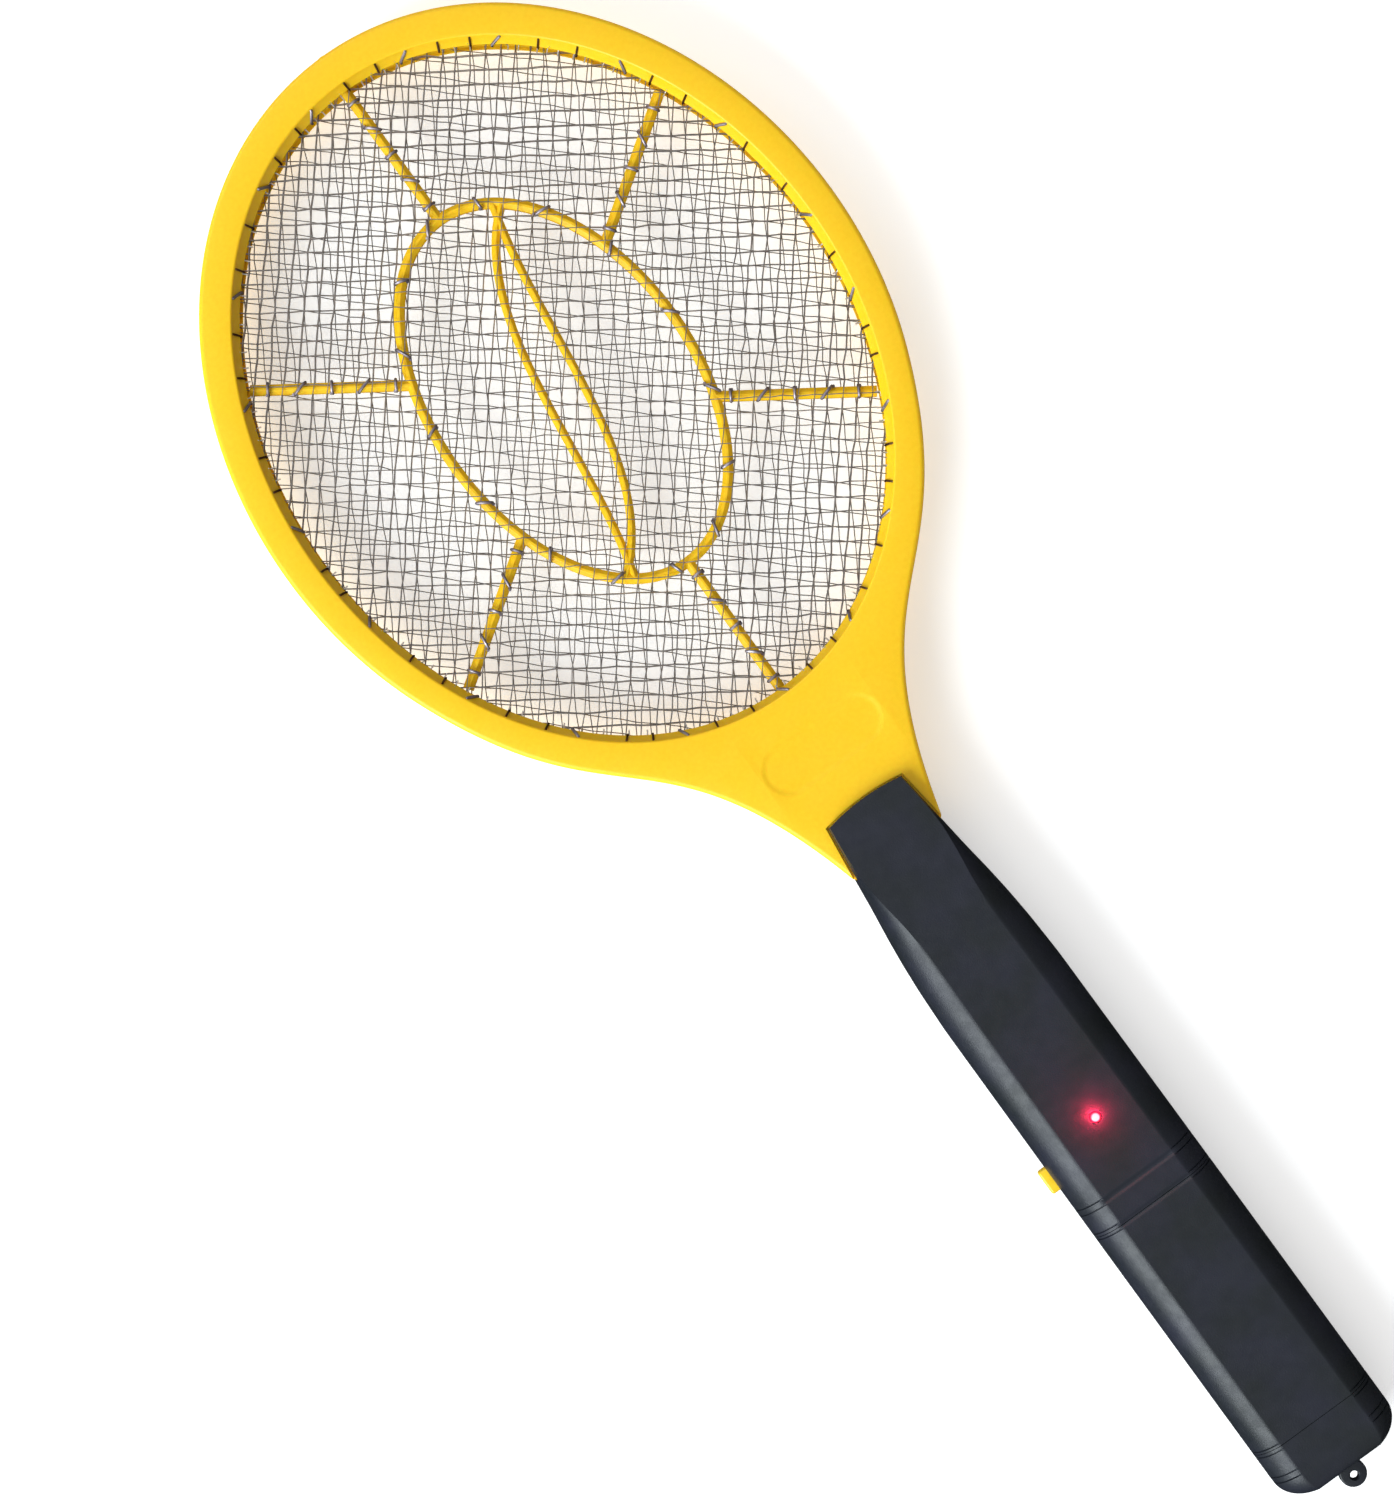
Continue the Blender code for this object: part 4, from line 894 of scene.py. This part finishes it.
def map_range(tree, fac, low, high, start, end):
    """Runs from low to high while a value runs from start to end."""
    node = tree.nodes.new("ShaderNodeMapRange")
    for socket, value in (("From Min", start), ("From Max", end), ("To Min", low), ("To Max", high)):
        node.inputs[socket].default_value = value
    tree.links.new(fac, node.inputs["Value"])
    return node.outputs["Result"]


class Finish:
    """A Principled material under construction, with noise that sits in the object's own space."""

    def __init__(self, name, base, roughness, metallic=0.0, specular=None):
        self.material = bpy.data.materials.new(name)
        self.material.use_nodes = True
        self.tree = self.material.node_tree
        self.shader = self.tree.nodes["Principled BSDF"]
        self.place = self.add("ShaderNodeTexCoord").outputs["Object"]
        self.set("Base Color", colour(*base))
        self.set("Roughness", roughness)
        self.set("Metallic", metallic)
        if specular is not None:
            self.set("Specular IOR Level", specular)
        self.bump_end = None

    def add(self, kind, **values):
        node = self.tree.nodes.new(kind)
        for key, value in values.items():
            setattr(node, key, value)
        return node

    def set(self, socket, value):
        self.shader.inputs[socket].default_value = value

    def link(self, out, into):
        self.tree.links.new(out, into)

    def noise(self, size, detail=3.0, roughness=0.5):
        """Noise whose features are size millimetres across."""
        node = self.add("ShaderNodeTexNoise")
        node.inputs["Scale"].default_value = 1.0 / (size * MM)
        node.inputs["Detail"].default_value = detail
        node.inputs["Roughness"].default_value = roughness
        self.link(self.place, node.inputs["Vector"])
        return node.outputs["Fac"]

    def ramp(self, fac, low, high, start=0.35, end=0.65):
        return map_range(self.tree, fac, low, high, start, end)

    def mix(self, fac, first, second, socket="Base Color"):
        """A blend of two colours on one of the shader's sockets."""
        node = self.add("ShaderNodeMix", data_type="RGBA")
        self.link(fac, node.inputs["Factor"])
        for into, value in ((node.inputs[6], first), (node.inputs[7], second)):
            if isinstance(value, tuple):
                into.default_value = colour(*value)
            else:
                self.link(value, into)
        self.link(node.outputs[2], self.shader.inputs[socket])
        return node.outputs[2]

    def blend_colour(self, fac, first, second, start=0.35, end=0.65):
        return self.mix(self.ramp(fac, 0.0, 1.0, start, end), first, second)

    def along(self, axis):
        """The place along one of the object's axes, in metres."""
        split = self.add("ShaderNodeSeparateXYZ")
        self.link(self.place, split.inputs["Vector"])
        return split.outputs[axis]

    def bands(self, axis, size, distortion=0.0):
        """Waves across an axis, by their size in millimetres."""
        node = self.add("ShaderNodeTexWave", bands_direction=axis)
        node.inputs["Scale"].default_value = 1.0 / (size * MM)
        node.inputs["Distortion"].default_value = distortion
        self.link(self.place, node.inputs["Vector"])
        return node.outputs["Fac"]

    def rough(self, fac, low, high, start=0.35, end=0.65):
        self.link(self.ramp(fac, low, high, start, end), self.shader.inputs["Roughness"])

    def bump(self, height, depth, strength=1.0):
        """Adds a relief of that depth in millimetres on top of any relief already there."""
        node = self.add("ShaderNodeBump")
        node.inputs["Distance"].default_value = depth * MM
        node.inputs["Strength"].default_value = strength
        self.link(height, node.inputs["Height"])
        if self.bump_end:
            self.link(self.bump_end, node.inputs["Normal"])
        self.bump_end = node.outputs["Normal"]
        self.link(self.bump_end, self.shader.inputs["Normal"])


def yellow_plastic():
    made = Finish("yellow_plastic", (0.90, 0.54, 0.006), 0.42, specular=0.4)
    made.blend_colour(made.noise(1.2, 2.0), (0.885, 0.525, 0.004), (0.915, 0.56, 0.008), 0.3, 0.7)
    made.set("Subsurface Weight", 0.25)
    made.set("Subsurface Radius", (1.0, 0.35, 0.04))
    made.set("Subsurface Scale", 1.5 * MM)
    made.rough(made.noise(6.0), 0.40, 0.50)
    made.bump(made.noise(0.45, 2.0), 0.007, 0.6)
    return made.material


def button_yellow():
    made = Finish("button_yellow", (0.92, 0.62, 0.015), 0.3)
    made.blend_colour(made.noise(2.0), (0.80, 0.50, 0.008), (0.86, 0.56, 0.014))
    made.rough(made.noise(1.5), 0.26, 0.38)
    made.bump(made.noise(0.4), 0.006)
    return made.material


def black_plastic():
    made = Finish("black_plastic", (0.012, 0.015, 0.021), 0.4, specular=0.36)
    made.blend_colour(made.noise(14.0), (0.010, 0.013, 0.016), (0.014, 0.016, 0.026))
    made.rough(made.noise(3.0), 0.36, 0.46)
    made.bump(made.noise(0.4, 3.0, 0.65), 0.07, 0.9)
    return made.material


def wire(name, dark, light, roughness):
    made = Finish(name, light, roughness, metallic=1.0)
    made.blend_colour(made.noise(3.0), dark, light)
    made.rough(made.noise(0.8), roughness - 0.08, roughness + 0.12)
    made.bump(made.noise(0.12, 2.0), 0.008)
    return made.material


def moulded(name, dark, light, roughness, grain, depth):
    """Plastic, resin or ceramic whose relief has that grain and depth in millimetres."""
    made = Finish(name, light, roughness)
    made.blend_colour(made.noise(4 * grain), dark, light)
    made.rough(made.noise(3 * grain), roughness - 0.06, roughness + 0.08)
    made.bump(made.noise(grain), depth)
    return made.material


def copper_winding():
    """Fine copper wire wound in layers, with its turns as a relief round the coil and painted shade in
    the grooves between them.
    """
    made = Finish("copper_winding", (0.75, 0.33, 0.12), 0.3, metallic=0.9)
    turns = made.bands("Z", 1.2, 0.4)
    # darker where the relief is low: painted shade between the turns
    made.blend_colour(turns, (0.40, 0.13, 0.04), (0.80, 0.38, 0.15), 0.2, 0.7)
    made.bump(turns, 0.12)
    return made.material


def cell_wrap():
    """A plain green sleeve with bare steel at both ends."""
    made = Finish("cell_wrap", (0.08, 0.26, 0.14), 0.3)
    low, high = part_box("cell_left")
    away = made.add("ShaderNodeMath", operation="SUBTRACT")
    away.inputs[1].default_value = (low.y + high.y) / 2
    made.link(made.along("Y"), away.inputs[0])
    size = made.add("ShaderNodeMath", operation="ABSOLUTE")
    made.link(away.outputs[0], size.inputs[0])
    half = (high.y - low.y) / 2
    bare = made.ramp(size.outputs[0], 0.0, 1.0, half - 2.2 * MM, half - 2.0 * MM)
    green = made.blend_colour(made.noise(8.0), (0.06, 0.22, 0.11), (0.09, 0.30, 0.16))
    made.mix(bare, green, (0.72, 0.72, 0.70))
    made.link(bare, made.shader.inputs["Metallic"])
    made.bump(made.noise(1.0), 0.01)
    return made.material


def resistor_tan():
    """A tan body with brown rings across it."""
    made = Finish("resistor_tan", (0.62, 0.48, 0.30), 0.4)
    made.blend_colour(made.bands("X", 4.5), (0.62, 0.48, 0.30), (0.20, 0.07, 0.03), 0.75, 0.85)
    made.bump(made.noise(0.8), 0.01)
    return made.material


def board_green():
    """Solder mask with the faint relief and shade of tracks under it."""
    made = Finish("board_green", (0.02, 0.17, 0.06), 0.35)
    tracks = made.add("ShaderNodeTexBrick")
    tracks.inputs["Scale"].default_value = 1.0 / (12.0 * MM)
    tracks.inputs["Mortar Size"].default_value = 0.06
    made.link(made.place, tracks.inputs["Vector"])
    made.blend_colour(tracks.outputs["Fac"], (0.015, 0.14, 0.05), (0.05, 0.30, 0.11), 0.3, 0.7)
    made.bump(tracks.outputs["Fac"], 0.05)
    return made.material


def red_lens():
    """A lit red lamp: paler in the middle of its dome."""
    made = Finish("red_lens", (0.8, 0.02, 0.05), 0.12)
    tip = (MID_Z + HANDLE_HALF + LAMP_RISE) * MM
    paler = made.ramp(made.along("Z"), 0.0, 1.0, tip - 0.6 * MM, tip - 0.2 * MM)
    made.mix(paler, (0.75, 0.01, 0.05), (1.0, 0.55, 0.62), "Emission Color")
    made.set("Emission Strength", 1.6)
    made.bump(made.noise(0.6), 0.004)
    return made.material


WIRES = {  # darker and lighter colour, roughness
    "net_wire": ((0.27, 0.245, 0.23), (0.44, 0.40, 0.375), 0.42),
    # a much lighter copy of the net wire: painted highlight on the curled wire ends
    "painted_highlight_wire": ((0.75, 0.72, 0.68), (0.92, 0.90, 0.86), 0.35),
    "tie_wire": ((0.22, 0.19, 0.22), (0.38, 0.34, 0.38), 0.5),
    # hook wire: its dark brown is partly the hooks' own colour and partly painted shade of the inner
    # wall they stand on
    "hook_wire_and_shade": ((0.07, 0.035, 0.012), (0.20, 0.11, 0.05), 0.55),
    "screw_steel": ((0.55, 0.55, 0.53), (0.70, 0.70, 0.68), 0.28),
    "spring_steel": ((0.60, 0.60, 0.57), (0.74, 0.73, 0.70), 0.22),
}
MOULDED = {  # darker and lighter colour, roughness, grain, depth
    "ferrite": ((0.03, 0.03, 0.033), (0.06, 0.06, 0.065), 0.6, 0.5, 0.03),
    "red_film": ((0.40, 0.03, 0.02), (0.50, 0.06, 0.035), 0.25, 1.2, 0.03),
    "ceramic_blue": ((0.03, 0.12, 0.40), (0.06, 0.18, 0.50), 0.3, 1.0, 0.03),
    "component_black": ((0.018, 0.018, 0.02), (0.035, 0.035, 0.037), 0.45, 0.4, 0.02),
    "red_insulation": ((0.50, 0.02, 0.015), (0.62, 0.035, 0.02), 0.4, 0.8, 0.02),
    "black_insulation": ((0.015, 0.015, 0.016), (0.03, 0.03, 0.03), 0.4, 0.8, 0.02),
}
MATERIALS = {look.__name__: look() for look in (
    yellow_plastic, button_yellow, black_plastic, board_green, copper_winding, resistor_tan,
    cell_wrap, red_lens)}
MATERIALS.update({name: wire(name, *look) for name, look in WIRES.items()})
MATERIALS.update({name: moulded(name, *look) for name, look in MOULDED.items()})


# ---- set

def camera():
    data = bpy.data.cameras.new("view")
    data.sensor_fit = "AUTO"
    data.sensor_width = SENSOR
    data.lens = SENSOR * VIEW_HEIGHT / VIEW_TALL
    data.clip_start, data.clip_end = 0.05, 20.0
    made = new_object("view", data)
    made.location = (*VIEW_AT, (MID_Z + HEAD_HALF) * MM + VIEW_HEIGHT)
    made.rotation_euler = (0.0, 0.0, VIEW_TURN)
    bpy.context.scene.camera = made


def softbox(name, at, target, size, radiance, tint):
    """A rectangular area light that gives off the same radiance whatever its size."""
    data = bpy.data.lights.new(name, "AREA")
    data.shape, data.size, data.size_y = "RECTANGLE", *size
    data.energy = radiance * math.pi * size[0] * size[1]
    data.color = tint
    made = new_object(name, data)
    made.location = at
    made.rotation_euler = (Vector(target) - Vector(at)).to_track_quat("-Z", "Y").to_euler()


def lamp_glow():
    """A small red light just above the lamp, for the glow on the plastic round it."""
    data = bpy.data.lights.new("lamp_glow", "POINT")
    data.energy, data.shadow_soft_size, data.color = GLOW_POWER, 0.5 * MM, (1.0, 0.02, 0.08)
    made = new_object("lamp_glow", data)
    made.location = (0.0, LAMP_Y * MM, (MID_Z + HANDLE_HALF + GLOW_RISE) * MM)


def sky_from_side(tree):
    """Soft light all round, weaker from the racket's right and from below."""
    place = tree.nodes.new("ShaderNodeTexCoord")
    split = tree.nodes.new("ShaderNodeSeparateXYZ")
    tree.links.new(place.outputs["Generated"], split.inputs["Vector"])
    sky = tree.nodes["Background"]
    sky.inputs["Color"].default_value = colour(1.0, 0.99, 0.98)
    both = tree.nodes.new("ShaderNodeMath")
    both.operation = "MULTIPLY"
    for number, (axis, start, end, low, high) in enumerate(
            (("X", -0.3, 0.75, SKY_LEFT, SKY_RIGHT), ("Z", -0.05, 0.35, SKY_UNDER, 1.0))):
        faded = map_range(tree, split.outputs[axis], low, high, start, end)
        tree.links.new(faded, both.inputs[number])
    tree.links.new(both.outputs[0], sky.inputs["Strength"])


def studio():
    world = bpy.data.worlds.new("studio")
    world.use_nodes = True
    sky_from_side(world.node_tree)
    bpy.context.scene.world = world
    for name, box in SOFTBOXES.items():
        softbox(name, *box)
    floor = Finish("floor", (0.93, 0.93, 0.93), 0.7)
    floor.set("Emission Color", colour(1.0, 1.0, 1.0))
    floor.set("Emission Strength", FLOOR_GLOW)
    lamp_glow()
    floor.blend_colour(floor.noise(40.0), (0.92, 0.92, 0.92), (0.94, 0.94, 0.94))
    corners = [(x * FLOOR_REACH, y * FLOOR_REACH, 0) for x, y in ((-1, -1), (1, -1), (1, 1), (-1, 1))]
    ground = make("floor", corners, [(0, 1, 2, 3)], floor.material)
    ground.visible_glossy = False
    bpy.context.scene.view_settings.view_transform = "Standard"


# ---- assembly

def head():
    dress(head_half("head_front", 1), "yellow_plastic", "head_frame_front")
    dress(head_half("head_back", -1), "yellow_plastic", "head_frame_back")
    for name, side in (("front", 1), ("back", -1)):
        dress(spacer_grid("ribs_" + name, side), "yellow_plastic", "spacer_grid_" + name)
    upright = WEAVE_TURN + math.pi / 2
    for name, (rows, columns, phase, seed) in WEAVES.items():
        net = woven_net("weave_" + name, NET_Z[name], WEAVE_TURN + math.radians(rows),
                        upright + math.radians(columns), phase, seed)
        dress(net, "net_wire", "net_" + name)
    hooks, slanting = rim_hooks()
    # the hooks' dark brown is partly painted shade of the inner wall
    dress(hooks, "net_wire", look="hook_wire_and_shade")
    dress(slanting, "net_wire", look="tie_wire")
    # the curled ends carry a painted highlight, a lighter copy of the net wire's colour
    dress(wire_curls(), "net_wire", look="painted_highlight_wire")
    dress(wire_ties(), "net_wire", look="tie_wire")


def handle():
    dress(shell_front(), "black_plastic", "handle_shell_front")
    dress(shell_back(), "black_plastic", "handle_shell_back")
    dress(cover(), "black_plastic", "battery_cover", body="cover")
    cap, stem = button()
    dress(cap, "button_yellow", "push_button", body="button")
    dress(stem, "button_yellow", body="button")
    return_spring()
    dress(lamp(), "red_lens", "led_lamp")


def paint_cad_nodes():
    """Carried-over CAD nodes keep their shape and get the finish of their record slot."""
    slots = {part["node"]: part["material_slot"] for part in frame["record"]["subparts"]}
    for node, piece in frame["nodes"].items():
        piece.data.materials.clear()
        piece.data.materials.append(MATERIALS[slots[node]])


camera()
studio()
paint_cad_nodes()
head()
handle()
screws()
cells()
